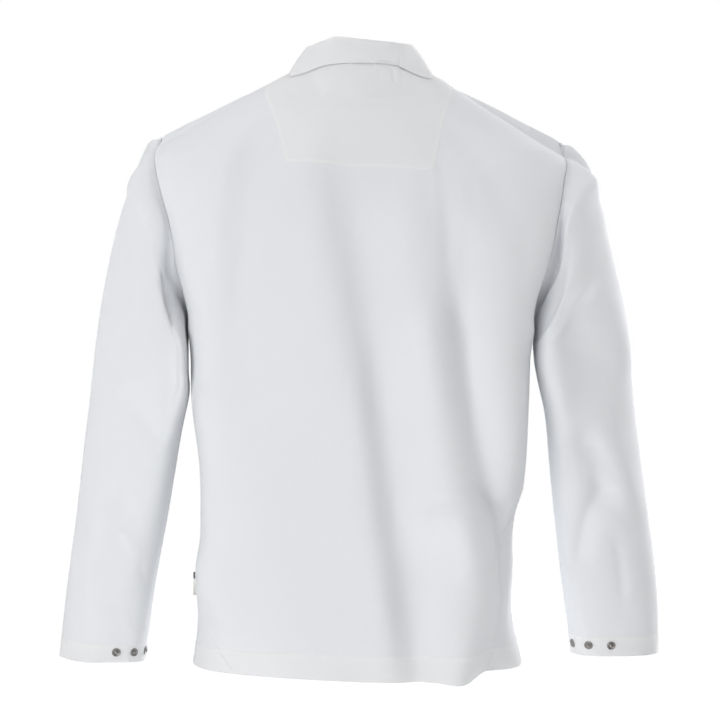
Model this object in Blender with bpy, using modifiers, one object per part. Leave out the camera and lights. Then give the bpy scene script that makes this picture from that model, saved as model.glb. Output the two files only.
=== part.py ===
# A pullover work smock in woven cloth, filled out as worn, with nobody in it.
# Metres, +Z up. The front faces -Y and the wearer's left is +X.
# The origin is inside the neck, level with the shoulder points, where the wearer's neck passes.
#
# The body is one surface of level rows. A place on it is a turn and a level: the turn is the angle
# round the wearer, 0 at centre back, 90 degrees at the left side and 180 at centre front, and the
# level is the row's height at the left side. A place on a sleeve is an angle round the arm, 0 on
# the outside, 90 at the back and 180 next to the body, and a length along from the shoulder.

import math
from functools import lru_cache

import bpy
import numpy as np
from mathutils import Vector

COLLECTION_NAME = "work_smock"

# Cloth walls and seams
WALL = 0.0015
STRIP_WALL = 0.0012
SEAM_GAP = 0.0004
ARM_GAP = 0.0007
COLLAR_GAP = 0.0006
SLEEVE_TUCK = 0.0006
HEM_WIDTH = 0.030
CUFF_WIDTH = 0.024
BAND_RAISE = 0.0006
BAND_STEP = 0.0012
PROBE = 0.002


class Table:
    """Rows of numbers under named columns, read as smooth curves along the first column."""

    def __init__(self, names, *rows):
        self.names = names.split()
        self.rows = np.array(sorted(rows), float)

    def column(self, name):
        return self.rows[:, self.names.index(name)]

    def at(self, name, where):
        marks, values = self.rows[:, 0], self.column(name)
        slopes = np.gradient(values, marks)
        low = np.clip(np.searchsorted(marks, where) - 1, 0, len(marks) - 2)
        span = marks[low + 1] - marks[low]
        t = np.clip((where - marks[low]) / span, 0, 1)
        rise = values[low + 1] - values[low]
        start, end = slopes[low] * span, slopes[low + 1] * span
        return values[low] + t * start + t**2 * (3 * rise - 2 * start - end) + t**3 * (start + end - 2 * rise)


def rows_of(names, *rows):
    return [dict(zip(names.split(), row)) for row in rows]


# The body's rows: half widths to the wearer's left and right, depths to the back and front, and
# how square the back and front are
BODY = Table(
    "level left right back front back_square front_square",
    (-0.7100, 0.2030, 0.1985, 0.1360, 0.1420, 2.40, 2.40),
    (-0.6500, 0.1945, 0.1865, 0.1350, 0.1410, 4.00, 2.70),
    (-0.5880, 0.1953, 0.1885, 0.1340, 0.1400, 5.20, 2.80),
    (-0.5550, 0.1905, 0.1880, 0.1340, 0.1400, 5.40, 2.80),
    (-0.5200, 0.1900, 0.1920, 0.1340, 0.1400, 5.60, 2.80),
    (-0.4500, 0.1900, 0.1985, 0.1340, 0.1400, 5.80, 2.80),
    (-0.3900, 0.1952, 0.1985, 0.1340, 0.1410, 5.80, 2.80),
    (-0.3400, 0.1968, 0.1985, 0.1340, 0.1410, 5.40, 2.80),
    (-0.3074, 0.2000, 0.2030, 0.1340, 0.1400, 5.20, 2.70),
    (-0.2800, 0.2042, 0.2057, 0.1340, 0.1380, 5.00, 2.60),
    (-0.2500, 0.2148, 0.2167, 0.1330, 0.1350, 4.70, 2.50),
    (-0.2000, 0.2344, 0.2393, 0.1300, 0.1270, 3.90, 2.40),
    (-0.1500, 0.2560, 0.2584, 0.1240, 0.1160, 2.90, 2.20),
    (-0.1000, 0.2605, 0.2620, 0.1125, 0.1060, 2.30, 2.00),
    (-0.0855, 0.2458, 0.2482, 0.1080, 0.1030, 2.10, 1.90),
    (-0.0700, 0.2197, 0.2198, 0.1020, 0.1000, 2.00, 1.85),
    (-0.0550, 0.1945, 0.1923, 0.0960, 0.0960, 1.95, 1.80),
    (-0.0400, 0.1692, 0.1649, 0.0890, 0.0910, 1.90, 1.80),
    (-0.0268, 0.1470, 0.1420, 0.0830, 0.0860, 1.90, 1.85),
    (-0.0146, 0.1243, 0.1220, 0.0770, 0.0810, 1.90, 1.90),
    (-0.0049, 0.1037, 0.1062, 0.0730, 0.0760, 1.95, 1.95),
    (0.0085, 0.0768, 0.0785, 0.0670, 0.0690, 2.00, 2.00),
)

# How far the body's edge lies from the middle at each armhole
ARMHOLE = Table(
    "level back_left back_right front_left front_right",
    (-0.3074, 0.2000, 0.2030, 0.2000, 0.2030),
    (-0.2900, 0.2004, 0.2025, 0.2000, 0.2025),
    (-0.2650, 0.2058, 0.2070, 0.2018, 0.2045),
    (-0.2350, 0.2135, 0.2165, 0.2065, 0.2085),
    (-0.2050, 0.2175, 0.2245, 0.2115, 0.2135),
    (-0.1750, 0.2240, 0.2305, 0.2190, 0.2200),
    (-0.1450, 0.2340, 0.2370, 0.2300, 0.2310),
    (-0.1150, 0.2425, 0.2430, 0.2430, 0.2440),
    (-0.0950, 0.2465, 0.2480, 0.2520, 0.2540),
    (-0.0855, 0.2458, 0.2482, 0.2458, 0.2482),
)
ARM_BOTTOM, ARM_TOP = -0.3074, -0.0855
ARM_MIDDLE, ARM_HALF = (ARM_BOTTOM + ARM_TOP) / 2, (ARM_TOP - ARM_BOTTOM) / 2
ARM_DEPTH = {"back": 0.070, "front": 0.074}
ARM_ROUND_TOP, ARM_ROUND_BOTTOM = 1.0, 1.35

# From where to where, by the sine of the turn, the rows change to the widths at the armholes
SIDE_BLEND = (0.55, 0.92)

# Where the side seams lie, in degrees of turn. They swing to the back at the hem.
SIDE_SEAM = Table(
    "level left right",
    (-0.710, 54, 57),
    (-0.690, 56.5, 57.5),
    (-0.670, 59.5, 58.5),
    (-0.652, 66, 61),
    (-0.638, 76, 61.5),
    (-0.622, 84, 60.5),
    (-0.600, 87, 57),
    (-0.570, 88, 57),
    (-0.545, 89, 60),
    (-0.515, 90, 67),
    (-0.480, 90, 76),
    (-0.445, 90, 84),
    (-0.405, 90, 90),
)

# How much lower a row lies on the wearer's right side, whose shoulder drops
RIGHT_DROP = Table(
    "level drop",
    (-0.4500, 0.0),
    (-0.3074, 0.0025),
    (-0.2000, 0.0078),
    (-0.0855, 0.0133),
    (-0.0400, 0.0058),
    (0.0085, 0.0008),
)
HEM_LEVEL, NECK_LEVEL = -0.710, 0.0085
HEM_DROOP, HEM_DROOP_HEIGHT, HEM_DROOP_TURN = 0.0048, 0.110, math.radians(-28)
NECK_DROP, NECK_DROP_START = 0.0735, -0.190
RIDGE_RISE = {"left": 0.0165, "right": 0.0240}
RIDGE_FROM, RIDGE_TO, RIDGE_BELOW, RIDGE_END, RIDGE_POWER = 0.018, 0.063, 0.050, -0.010, 0.5

# The sleeves: the outer and inner lines seen from behind, the depth to the back and front, where
# the middle lies, and how far the inner line lies behind it
SLEEVES = {
    "left": Table(
        "along outer_x outer_z inner_x inner_z back front middle inner_back",
        (0.000, 0.2458, -0.0855, 0.2000, -0.3074, 0.070, 0.074, 0.000, 0.000),
        (0.015, 0.2560, -0.0880, 0.2060, -0.3072, 0.070, 0.073, 0.000, 0.011),
        (0.040, 0.2700, -0.1130, 0.2066, -0.3100, 0.069, 0.071, 0.000, 0.048),
        (0.080, 0.2852, -0.1500, 0.2044, -0.3200, 0.067, 0.068, 0.000, 0.072),
        (0.140, 0.3020, -0.2100, 0.2024, -0.3380, 0.065, 0.065, 0.001, 0.080),
        (0.190, 0.3120, -0.2590, 0.2018, -0.3600, 0.064, 0.063, 0.002, 0.078),
        (0.240, 0.3193, -0.3070, 0.2018, -0.3800, 0.063, 0.061, 0.003, 0.066),
        (0.320, 0.3290, -0.3930, 0.2135, -0.4270, 0.061, 0.058, 0.002, 0.040),
        (0.440, 0.3447, -0.5150, 0.2328, -0.5300, 0.056, 0.052, -0.006, 0.012),
        (0.560, 0.3615, -0.6370, 0.2555, -0.6450, 0.049, 0.047, -0.018, 0.000),
        (0.630, 0.3702, -0.7080, 0.2642, -0.7125, 0.045, 0.044, -0.026, 0.000),
    ),
    "right": Table(
        "along outer_x outer_z inner_x inner_z back front middle inner_back",
        (0.000, 0.2482, -0.0988, 0.2030, -0.3099, 0.070, 0.074, 0.000, 0.000),
        (0.015, 0.2575, -0.1000, 0.2086, -0.3097, 0.070, 0.073, 0.000, 0.008),
        (0.040, 0.2762, -0.1160, 0.2096, -0.3120, 0.069, 0.071, 0.000, 0.024),
        (0.080, 0.2930, -0.1500, 0.2086, -0.3200, 0.067, 0.068, 0.000, 0.040),
        (0.140, 0.3050, -0.2000, 0.2078, -0.3330, 0.065, 0.065, 0.001, 0.044),
        (0.190, 0.3155, -0.2500, 0.2088, -0.3500, 0.064, 0.063, 0.002, 0.048),
        (0.240, 0.3262, -0.3050, 0.2130, -0.3720, 0.063, 0.061, 0.003, 0.046),
        (0.320, 0.3330, -0.3900, 0.2225, -0.4150, 0.061, 0.058, 0.002, 0.036),
        (0.440, 0.3505, -0.5150, 0.2345, -0.5200, 0.056, 0.052, -0.006, 0.012),
        (0.560, 0.3660, -0.6370, 0.2505, -0.6370, 0.049, 0.047, -0.018, 0.006),
        (0.624, 0.3683, -0.7030, 0.2600, -0.7030, 0.045, 0.044, -0.026, 0.000),
    ),
}
HEAD_BLEND = 0.150
INNER_SQUARE = 3.0  # how full the inner back of a sleeve is, 2 being round

# Folds. Each runs through three places, each an angle in degrees and a level or a length along. Across
# its run it lifts the cloth by (height + slope * distance), fading over its widths. The distance counts
# up towards a rising angle, or for a fold that runs round, towards a rising level or length. A slope
# makes a crest on the upper side of the run and a hollow on the lower side.
FOLD_COLUMNS = "turn_a place_a turn_b place_b turn_c place_c height slope upper lower"
BODY_FOLDS = rows_of(
    FOLD_COLUMNS,
    (62, -0.012, 0, -0.031, -60, -0.014, -0.0045, 0.0, 0.009, 0.012),
    (58, -0.040, 53, -0.250, 57, -0.520, 0.0, 0.20, 0.040, 0.040),
    (26, -0.055, -3, -0.370, -26, -0.790, 0.0, 0.24, 0.028, 0.025),
    (26, -0.055, -3, -0.370, -26, -0.790, 0.0, 0.16, 0.060, 0.055),
    (1, -0.300, -11, -0.520, -24, -0.760, 0.0, 0.22, 0.018, 0.018),
    (-37, -0.120, -39.5, -0.350, -56, -0.620, 0.0, 0.46, 0.032, 0.014),
    (-37, -0.240, -42.5, -0.420, -53, -0.600, 0.0, 0.70, 0.022, 0.014),
    (-45, -0.090, -54, -0.300, -53, -0.540, 0.0085, 0.0, 0.018, 0.012),
    (-60, -0.050, -57, -0.200, -60, -0.460, 0.0, -0.24, 0.032, 0.032),
    (-64, -0.514, -52.5, -0.507, -42, -0.484, -0.0045, 0.0, 0.010, 0.008),
    (-46, -0.490, -50, -0.610, -47, -0.850, 0.0, 0.70, 0.022, 0.022),
    (-56, -0.500, -58, -0.620, -56, -0.850, 0.0, 0.26, 0.040, 0.040),
    (62, -0.550, 56, -0.620, 51, -0.690, 0.0030, 0.0, 0.014, 0.014),
    (128, -0.180, 140, -0.340, 136.5, -0.560, 0.0, -0.22, 0.026, 0.032),
    (205, -0.150, 214.5, -0.330, 207, -0.620, 0.0, 0.26, 0.030, 0.022),
    (244, -0.320, 236.5, -0.460, 237.5, -0.640, 0.0, 0.24, 0.024, 0.024),
    (115, -0.420, 124, -0.520, 120.5, -0.640, 0.0, -0.20, 0.022, 0.026),
)
BODY_RADIUS = 0.170
SLEEVE_FOLDS = {
    "left": rows_of(
        FOLD_COLUMNS,
        (10, 0.060, 56, 0.036, 100, 0.004, 0.0060, 0.0, 0.012, 0.016),
        (92, 0.000, 113, 0.060, 124, 0.230, -0.0050, 0.0, 0.013, 0.013),
        (140, 0.010, 148, 0.120, 150, 0.270, 0.0035, 0.0, 0.012, 0.012),
        (70, 0.285, 106, 0.318, 140, 0.350, -0.0040, 0.0, 0.013, 0.016),
        (60, 0.120, 74, 0.210, 66, 0.310, 0.0, 0.16, 0.022, 0.022),
        (120, 0.420, 104, 0.480, 96, 0.560, 0.0, 0.14, 0.018, 0.016),
        (300, 0.060, 262, 0.120, 236, 0.200, -0.0040, 0.0, 0.016, 0.013),
        (310, 0.250, 268, 0.300, 226, 0.350, -0.0045, 0.0, 0.015, 0.012),
        (290, 0.390, 262, 0.440, 240, 0.520, 0.0, -0.18, 0.020, 0.016),
    ),
    "right": rows_of(
        FOLD_COLUMNS,
        (6, 0.060, 48, 0.038, 96, 0.004, 0.0060, 0.0, 0.012, 0.016),
        (90, 0.000, 112, 0.050, 150, 0.120, -0.0055, 0.0, 0.013, 0.013),
        (118, 0.020, 110, 0.080, 96, 0.150, -0.0030, 0.0, 0.011, 0.009),
        (98, 0.155, 74, 0.225, 52, 0.310, 0.0, -0.36, 0.018, 0.020),
        (134, 0.080, 129, 0.210, 134, 0.330, 0.0035, 0.0, 0.012, 0.012),
        (104, 0.335, 85, 0.390, 66, 0.460, 0.0, -0.42, 0.014, 0.016),
        (76, 0.410, 110, 0.450, 142, 0.530, -0.0050, 0.0, 0.012, 0.010),
        (82, 0.465, 80, 0.520, 79, 0.590, -0.0025, 0.0, 0.008, 0.010),
        (300, 0.060, 262, 0.120, 236, 0.200, -0.0040, 0.0, 0.016, 0.013),
        (306, 0.270, 266, 0.310, 228, 0.350, -0.0045, 0.0, 0.015, 0.012),
        (286, 0.420, 262, 0.470, 244, 0.540, 0.0, 0.18, 0.020, 0.016),
    ),
}
SLEEVE_RADIUS, SLEEVE_FOLD_START = 0.055, 0.012
FOLD_STEPS, FOLD_FADE = 12, 0.20
SEAM_SAMPLES = 480

# The collar: heights of its top, then where the fall's edge lies on the body and how far it stands off
COLLAR_TOP = Table(
    "turn left right",
    (0, 0.0368, 0.0368),
    (15, 0.0390, 0.0354),
    (28, 0.0404, 0.0347),
    (42, 0.0372, 0.0347),
    (60, 0.0345, 0.0355),
    (90, 0.0347, 0.0372),
    (120, 0.0270, 0.0275),
    (150, 0.0000, 0.0000),
    (180, -0.0280, -0.0280),
)
COLLAR_WIDTH, COLLAR_DEPTH = 0.0640, {"back": 0.0575, "front": 0.0620}
FALL_EDGE = Table(
    "turn level off",
    (0, 0.0074, 0.0030),
    (20, 0.0072, 0.0030),
    (35, 0.0056, 0.0030),
    (45, 0.0010, 0.0032),
    (53, -0.0040, 0.0034),
    (61, -0.0064, 0.0034),
    (69, -0.0010, 0.0034),
    (77, 0.0035, 0.0032),
    (90, 0.0052, 0.0030),
    (112, -0.0040, 0.0030),
    (130, -0.0220, 0.0036),
    (156, -0.0500, 0.0038),
)
COLLAR_END, FALL_END = math.radians(178), 156 / 178
ROLL, ROLL_ANGLES = 0.0024, np.radians([0, 50, 100])
COLLAR_ACROSS, STAND_UP, FALL_DOWN = 34, 3, 4

# The neck facing inside the back, by its side edges
FACING = Table(
    "level left right",
    (-0.1110, 37.0, 37.0),
    (-0.0790, 44.0, 43.5),
    (-0.0480, 54.5, 53.0),
    (-0.0200, 70.0, 69.0),
    (-0.0080, 79.0, 79.0),
    (0.0077, 86.0, 86.0),
)
FACING_ACROSS, FACING_GAP = 16, 0.0010

# The front slit and the strips that close it
SLIT_BOTTOM, SLIT_WIDTH = -0.310, 0.002
PLACKET_WIDTH, PLACKET_BELOW = 0.035, 0.025
PLACKET_ACROSS, LAYER_GAP = 4, 0.0006

# The cuff snaps: turned caps with a rim, a hollow and a post, given by radius and height
SNAP_PROFILE = (
    ("post top", 0.0, 0.0025),
    ("post edge", 0.0020, 0.0022),
    ("hollow", 0.0024, 0.0006),
    ("rim top", 0.0042, 0.0013),
    ("rim edge", 0.0052, 0.0008),
    ("foot edge", 0.0052, 0.0),
    ("foot", 0.0, 0.0),
)
SNAP_ANGLES = {"left": (113, 142, 171), "right": (100, 131, 163)}
SNAP_ABOVE_CUFF, SNAP_SIDES = 0.0135, 12

# The label in the left side seam
LABEL_TOP, LABEL_BOTTOM, LABEL_REACH, LABEL_WALL = -0.6014, -0.6270, 0.0062, 0.0009

# Grids, in cells
BACK_ACROSS, FRONT_ACROSS = 28, 26
BELOW_ARM, IN_ARM, ABOVE_ARM = 15, 12, 8
SLEEVE_ALONG = (0, 0.003, 0.009, 0.018, 0.030, 0.045)
SLEEVE_CELL = 0.029
SIDE_CROWDING = 0.45


def smooth_step(value, low, high):
    t = np.clip((value - low) / (high - low), 0, 1)
    return t * t * (3 - 2 * t)


def unit(vectors):
    return vectors / np.linalg.norm(vectors, axis=-1, keepdims=True)


def arm_edge(level, face, side):
    """Distance from the middle and depth of the body's edge at an armhole."""
    lift = np.clip((level - ARM_MIDDLE) / ARM_HALF, -1, 1)
    power = (ARM_ROUND_TOP * (1 + lift) + ARM_ROUND_BOTTOM * (1 - lift)) / 2
    return ARMHOLE.at(f"{face}_{side}", level), ARM_DEPTH[face] * (1 - lift**2) ** (power / 2)


def half_width(level, face, side):
    """A row's half width near the side. At the armholes it is what carries the row through the edge."""
    edge, depth = arm_edge(level, face, side)
    power = BODY.at(f"{face}_square", level)
    through = edge / (1 - (depth / BODY.at(face, level)) ** power) ** (1 / power)
    return np.where((level > ARM_BOTTOM) & (level < ARM_TOP), through, BODY.at(side, level))


def body_form(turn, level):
    """The body's plain form, without folds."""
    sine, cosine = np.sin(turn), np.cos(turn)
    back, left = cosine > 0, sine > 0
    widths = {
        (face, side): half_width(level, face, side) for face in ("back", "front") for side in ("left", "right")
    }
    on_left = np.where(back, widths["back", "left"], widths["front", "left"])
    on_right = np.where(back, widths["back", "right"], widths["front", "right"])
    plain = np.where(left, BODY.at("left", level), BODY.at("right", level))
    near_side = smooth_step(np.abs(sine), *SIDE_BLEND)
    width = plain + (np.where(left, on_left, on_right) - plain) * near_side
    depth = np.where(back, BODY.at("back", level), BODY.at("front", level))
    power = np.where(back, BODY.at("back_square", level), BODY.at("front_square", level))
    radius = (np.abs(sine / width) ** power + np.abs(cosine / depth) ** power) ** (-1 / power)
    x, y = radius * sine, radius * cosine
    z = level - RIGHT_DROP.at("drop", level) * (1 - sine) / 2
    facing_back, facing_front = np.clip(np.cos(turn - HEM_DROOP_TURN), 0, 1) ** 2, np.clip(-cosine, 0, 1) ** 2
    z = z - HEM_DROOP * facing_back * (1 - smooth_step(level, HEM_LEVEL, HEM_LEVEL + HEM_DROOP_HEIGHT))
    z = z - NECK_DROP * facing_front * smooth_step(level, NECK_DROP_START, NECK_LEVEL)
    ridge = smooth_step(-y, 0, RIDGE_FROM) * (1 - smooth_step(-y, RIDGE_FROM, RIDGE_TO))
    along_ridge = np.clip((RIDGE_END - level) / (RIDGE_END - ARM_TOP), 0, 1) ** RIDGE_POWER
    ridge = ridge * smooth_step(level, ARM_TOP - RIDGE_BELOW, ARM_TOP) * along_ridge
    rise = np.where(left, RIDGE_RISE["left"], RIDGE_RISE["right"])
    return np.stack([x, y, z + rise * ridge], axis=-1)


def normals_of(form, first, second, step_first, step_second, sign):
    """Unit normals of a surface from the places a small step away each way."""
    along_first = form(first + step_first, second) - form(first - step_first, second)
    along_second = form(first, second + step_second) - form(first, second - step_second)
    return sign * unit(np.cross(along_second, along_first))


def fold_path(fold, radius):
    """Points along a fold's run, in metres round and along. Its three places lie on a smooth arc."""
    start, middle, end = (
        np.array([radius * math.radians(fold[f"turn_{key}"]), fold[f"place_{key}"]]) for key in "abc"
    )
    share = np.linspace(0, 1, FOLD_STEPS + 1)[:, None]
    pull = 2 * middle - (start + end) / 2
    return (1 - share) ** 2 * start + 2 * share * (1 - share) * pull + share**2 * end


def fold_relief(folds, turn, place, radius):
    """How far the folds lift the cloth at each place."""
    total = np.zeros(np.broadcast(turn, place).shape)
    for fold in folds:
        path = fold_path(fold, radius)
        runs_down = abs(path[-1, 1] - path[0, 1]) > abs(path[-1, 0] - path[0, 0])
        middle = math.radians(fold["turn_b"])
        around = radius * (middle + (turn - middle + np.pi) % (2 * np.pi) - np.pi)
        nearest = np.full(total.shape, np.inf)
        run, across = np.zeros(total.shape), np.zeros(total.shape)
        for step, (start, end) in enumerate(zip(path, path[1:])):
            (dx, dy), reach = end - start, np.sum((end - start) ** 2)
            x, y = around - start[0], place - start[1]
            t = np.clip((x * dx + y * dy) / reach, 0, 1)
            apart = np.hypot(x - t * dx, y - t * dy)
            nearer = apart < nearest
            nearest = np.where(nearer, apart, nearest)
            run = np.where(nearer, (step + t) / FOLD_STEPS, run)
            upward = np.sign(x - t * dx if runs_down else y - t * dy)
            across = np.where(nearer, upward * apart, across)
        width = np.where(across > 0, fold["upper"], fold["lower"])
        fade = smooth_step(run, 0, FOLD_FADE) * (1 - smooth_step(run, 1 - FOLD_FADE, 1))
        total += fade * (fold["height"] + fold["slope"] * across) * np.exp(-((across / width) ** 2) / 2)
    return total


TURN_PROBE, SLEEVE_PROBE = PROBE / BODY_RADIUS, PROBE / SLEEVE_RADIUS


def off_the_rims(level):
    """Levels held a probe's step inside the surface's ends, where its normals are taken."""
    return np.clip(level, HEM_LEVEL + PROBE, NECK_LEVEL - PROBE)


def body_surface(turn, level):
    normals = normals_of(body_form, turn, off_the_rims(level), TURN_PROBE, PROBE, 1)
    return body_form(turn, level) + fold_relief(BODY_FOLDS, turn, level, BODY_RADIUS)[..., None] * normals


def body_normals(turn, level):
    return normals_of(body_surface, turn, off_the_rims(level), TURN_PROBE, PROBE, 1)


def body_points(turn, level, out=0.0):
    """Points on the body's outer face, moved out by a distance, or in where it is below zero."""
    turn, level = np.broadcast_arrays(turn, level)
    return body_surface(turn, level) + np.asarray(out)[..., None] * body_normals(turn, level)


def side_turn(level, face, side):
    """The turn of a panel's edge: the side seam, then the armhole, then the shoulder seam."""
    seam = np.radians(SIDE_SEAM.at(side, level))
    edge, depth = arm_edge(level, face, side)
    armhole = np.arctan2(edge, depth if face == "back" else -depth)
    return np.where((level > ARM_BOTTOM) & (level < ARM_TOP), armhole, seam)


def half_gap(levels, side):
    """Half the side seam's gap as a turn, wider where the seam slants."""
    width = BODY.at(side, levels)
    slant = width * np.gradient(np.radians(SIDE_SEAM.at(side, levels)), levels)
    return SEAM_GAP / 2 / width * np.hypot(1, slant)


def body_levels():
    """The rows' levels from hem to neck. They are close together at the armholes' ends."""
    band = [HEM_LEVEL, HEM_LEVEL + HEM_WIDTH - BAND_STEP, HEM_LEVEL + HEM_WIDTH]
    below = np.linspace(band[-1], ARM_BOTTOM, BELOW_ARM + 1)[1:]
    lift = -np.cos(np.pi * np.arange(1, IN_ARM + 1) / IN_ARM)
    above = np.linspace(ARM_TOP, NECK_LEVEL, ABOVE_ARM + 1)[1:]
    return np.concatenate([band, below, ARM_MIDDLE + ARM_HALF * lift, above])


def wall(name, outer, inner, keep=None, closed=False):
    """A closed sheet between two grids of points. Cells that `keep` leaves out are open."""
    rows, columns = outer.shape[:2]
    cells_across = columns if closed else columns - 1
    keep = np.ones((rows - 1, cells_across), bool) if keep is None else keep
    half = rows * columns
    faces, edges = [], set()
    for row, column in zip(*np.nonzero(keep)):
        beside = (column + 1) % columns
        corners = [
            int(row * columns + column),
            int((row + 1) * columns + column),
            int((row + 1) * columns + beside),
            int(row * columns + beside),
        ]
        faces.append(corners)
        faces.append([half + corner for corner in reversed(corners)])
        edges.update(zip(corners, corners[1:] + corners[:1]))
    for start, end in edges:
        if (end, start) not in edges:
            faces.append([end, start, half + start, half + end])
    used = sorted({corner for face in faces for corner in face})
    place = {corner: index for index, corner in enumerate(used)}
    points = np.concatenate([outer.reshape(-1, 3), inner.reshape(-1, 3)])
    mesh = bpy.data.meshes.new(name)
    mesh.from_pydata(points[used].tolist(), [], [[place[corner] for corner in face] for face in faces])
    mesh.shade_smooth()
    mesh.set_sharp_from_angle(angle=math.radians(50))
    return mesh


def add_part(name, mesh, material):
    part = bpy.data.objects.new(name, mesh)
    part.data.materials.append(material)
    bpy.data.collections[COLLECTION_NAME].objects.link(part)
    return part


def finish(name, colour, roughness, metallic=0.0):
    material = bpy.data.materials.new(name)
    material.use_nodes = True
    shader = material.node_tree.nodes["Principled BSDF"]
    shader.inputs["Base Color"].default_value = (*colour, 1.0)
    shader.inputs["Roughness"].default_value = roughness
    shader.inputs["Metallic"].default_value = metallic
    return material


def panel_wall(name, turn, levels, keep=None):
    """A body panel: the outer face carries the hem's band, the inner face is plain."""
    raise_band = BAND_RAISE * (levels < HEM_LEVEL + HEM_WIDTH - BAND_STEP / 2)
    level = np.broadcast_to(levels[:, None], turn.shape)
    raised = np.broadcast_to(raise_band[:, None], turn.shape)
    return wall(name, body_points(turn, level, raised), body_points(turn, level, -WALL), keep)


def across_cells(count):
    """Places across a panel from 0 to 1, closer together at its sides, where it turns most."""
    even = np.linspace(0, 1, count + 1)
    return even - SIDE_CROWDING * np.sin(2 * np.pi * even) / (2 * np.pi)


def back_panel(material):
    levels = body_levels()
    left = side_turn(levels, "back", "left") - half_gap(levels, "left")
    right = -side_turn(levels, "back", "right") + half_gap(levels, "right")
    across = across_cells(BACK_ACROSS)
    turn = right[:, None] + (left - right)[:, None] * across
    add_part("back_panel", panel_wall("back_panel", turn, levels), material)


def front_panel(material):
    """One piece with a slit from the neck: above the slit's end the middle cells are open."""
    levels = body_levels()
    half_slit = SLIT_WIDTH / 2 / BODY.at("front", levels)
    left = side_turn(levels, "front", "left") + half_gap(levels, "left")
    right = 2 * np.pi - side_turn(levels, "front", "right") - half_gap(levels, "right")
    across = across_cells(FRONT_ACROSS)[: FRONT_ACROSS // 2] / across_cells(FRONT_ACROSS)[FRONT_ACROSS // 2 - 1]
    to_slit = left[:, None] + (np.pi - half_slit - left)[:, None] * across
    from_slit = right[:, None] + (np.pi + half_slit - right)[:, None] * across[::-1]
    turn = np.concatenate([to_slit, from_slit], axis=1)
    keep = np.ones((turn.shape[0] - 1, turn.shape[1] - 1), bool)
    keep[levels[:-1] > SLIT_BOTTOM, FRONT_ACROSS // 2 - 1] = False
    add_part("front_panel", panel_wall("front_panel", turn, levels, keep), material)


def arm_ring(around, side):
    """The armhole's ring just off the body's edge, from the shoulder seam round by the back."""
    level = ARM_MIDDLE + ARM_HALF * np.cos(around)
    back = np.sin(around) >= 0
    turns = {face: np.arctan2(*arm_edge(level, face, side)) for face in ("back", "front")}
    turn = np.where(back, turns["back"], np.pi - turns["front"])
    turn = turn if side == "left" else -turn
    return turn, level


@lru_cache
def arm_seam_line(side):
    """The sleeve's edge, sampled: a gap off the body's edge and tucked a little under it."""
    around = np.linspace(0, 2 * np.pi, SEAM_SAMPLES + 1)
    small = 1e-3
    run = body_points(*arm_ring(around + small, side)) - body_points(*arm_ring(around - small, side))
    normals = body_normals(*arm_ring(around, side))
    away = unit(np.cross(run, normals)) * (1 if side == "left" else -1)
    return body_points(*arm_ring(around, side)) + ARM_GAP * away - SLEEVE_TUCK * normals


def arm_seam(around, side):
    line = arm_seam_line(side)
    where = (around / (2 * np.pi) % 1) * SEAM_SAMPLES
    low = np.minimum(np.floor(where).astype(int), SEAM_SAMPLES - 1)
    return line[low] + (where - low)[..., None] * (line[low + 1] - line[low])


def sleeve_ring(around, along, side):
    rows = SLEEVES[side]
    sign = 1 if side == "left" else -1
    outer_x, inner_x = sign * rows.at("outer_x", along), sign * rows.at("inner_x", along)
    outer_z, inner_z = rows.at("outer_z", along), rows.at("inner_z", along)
    cosine, sine = np.cos(around), np.sin(around)
    depth = np.where(sine > 0, rows.at("back", along), rows.at("front", along))
    x = (outer_x + inner_x) / 2 + (outer_x - inner_x) / 2 * cosine
    z = (outer_z + inner_z) / 2 + (outer_z - inner_z) / 2 * cosine
    fuller = (1 - np.abs(cosine) ** INNER_SQUARE) ** (1 / INNER_SQUARE)
    out = np.where((sine > 0) & (cosine < 0), fuller, sine)
    y = rows.at("middle", along) + depth * out
    y = y + rows.at("inner_back", along) * ((1 - cosine) / 2) ** np.where(sine > 0, 2, 10)
    return np.stack([x, y, z], axis=-1)


def sleeve_form(around, along, side):
    """The sleeve's plain form: its rings, drawn to the armhole's seam at the head."""
    start = np.zeros_like(along)
    head = 1 - smooth_step(along, 0, HEAD_BLEND)
    offset = arm_seam(around, side) - sleeve_ring(around, start, side)
    return sleeve_ring(around, along, side) + head[..., None] * offset


def sleeve_length(side):
    return SLEEVES[side].column("along")[-1]


def sleeve_normals_of(form, around, along, side):
    along = np.clip(along, PROBE, sleeve_length(side) - PROBE)
    sign = 1 if side == "left" else -1
    return normals_of(lambda a, b: form(a, b, side), around, along, SLEEVE_PROBE, PROBE, sign)


def sleeve_surface(around, along, side):
    relief = fold_relief(SLEEVE_FOLDS[side], around, along, SLEEVE_RADIUS)
    relief = relief * smooth_step(along, 0, SLEEVE_FOLD_START)
    return sleeve_form(around, along, side) + relief[..., None] * sleeve_normals_of(
        sleeve_form, around, along, side
    )


def sleeve_normals(around, along, side):
    return sleeve_normals_of(sleeve_surface, around, along, side)


def sleeve_points(around, along, side, out=0.0):
    normals = sleeve_normals(around, along, side)
    return sleeve_surface(around, along, side) + np.asarray(out)[..., None] * normals


def sleeve(side, material):
    length = sleeve_length(side)
    body = np.linspace(SLEEVE_ALONG[-1], length - CUFF_WIDTH, round((length - CUFF_WIDTH) / SLEEVE_CELL))[1:]
    rows = np.concatenate([SLEEVE_ALONG, body, [length - CUFF_WIDTH + BAND_STEP, length]])
    angles = 2 * np.pi * np.arange(2 * IN_ARM) / (2 * IN_ARM)
    around, along = np.meshgrid(angles, rows)
    if side == "right":
        around = around[:, ::-1]
    raised = BAND_RAISE * (along > length - CUFF_WIDTH + BAND_STEP / 2)
    name = f"sleeve_{side}"
    outer, inner = sleeve_points(around, along, side, raised), sleeve_points(around, along, side, -WALL)
    add_part(name, wall(name, outer, inner, closed=True), material)


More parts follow.
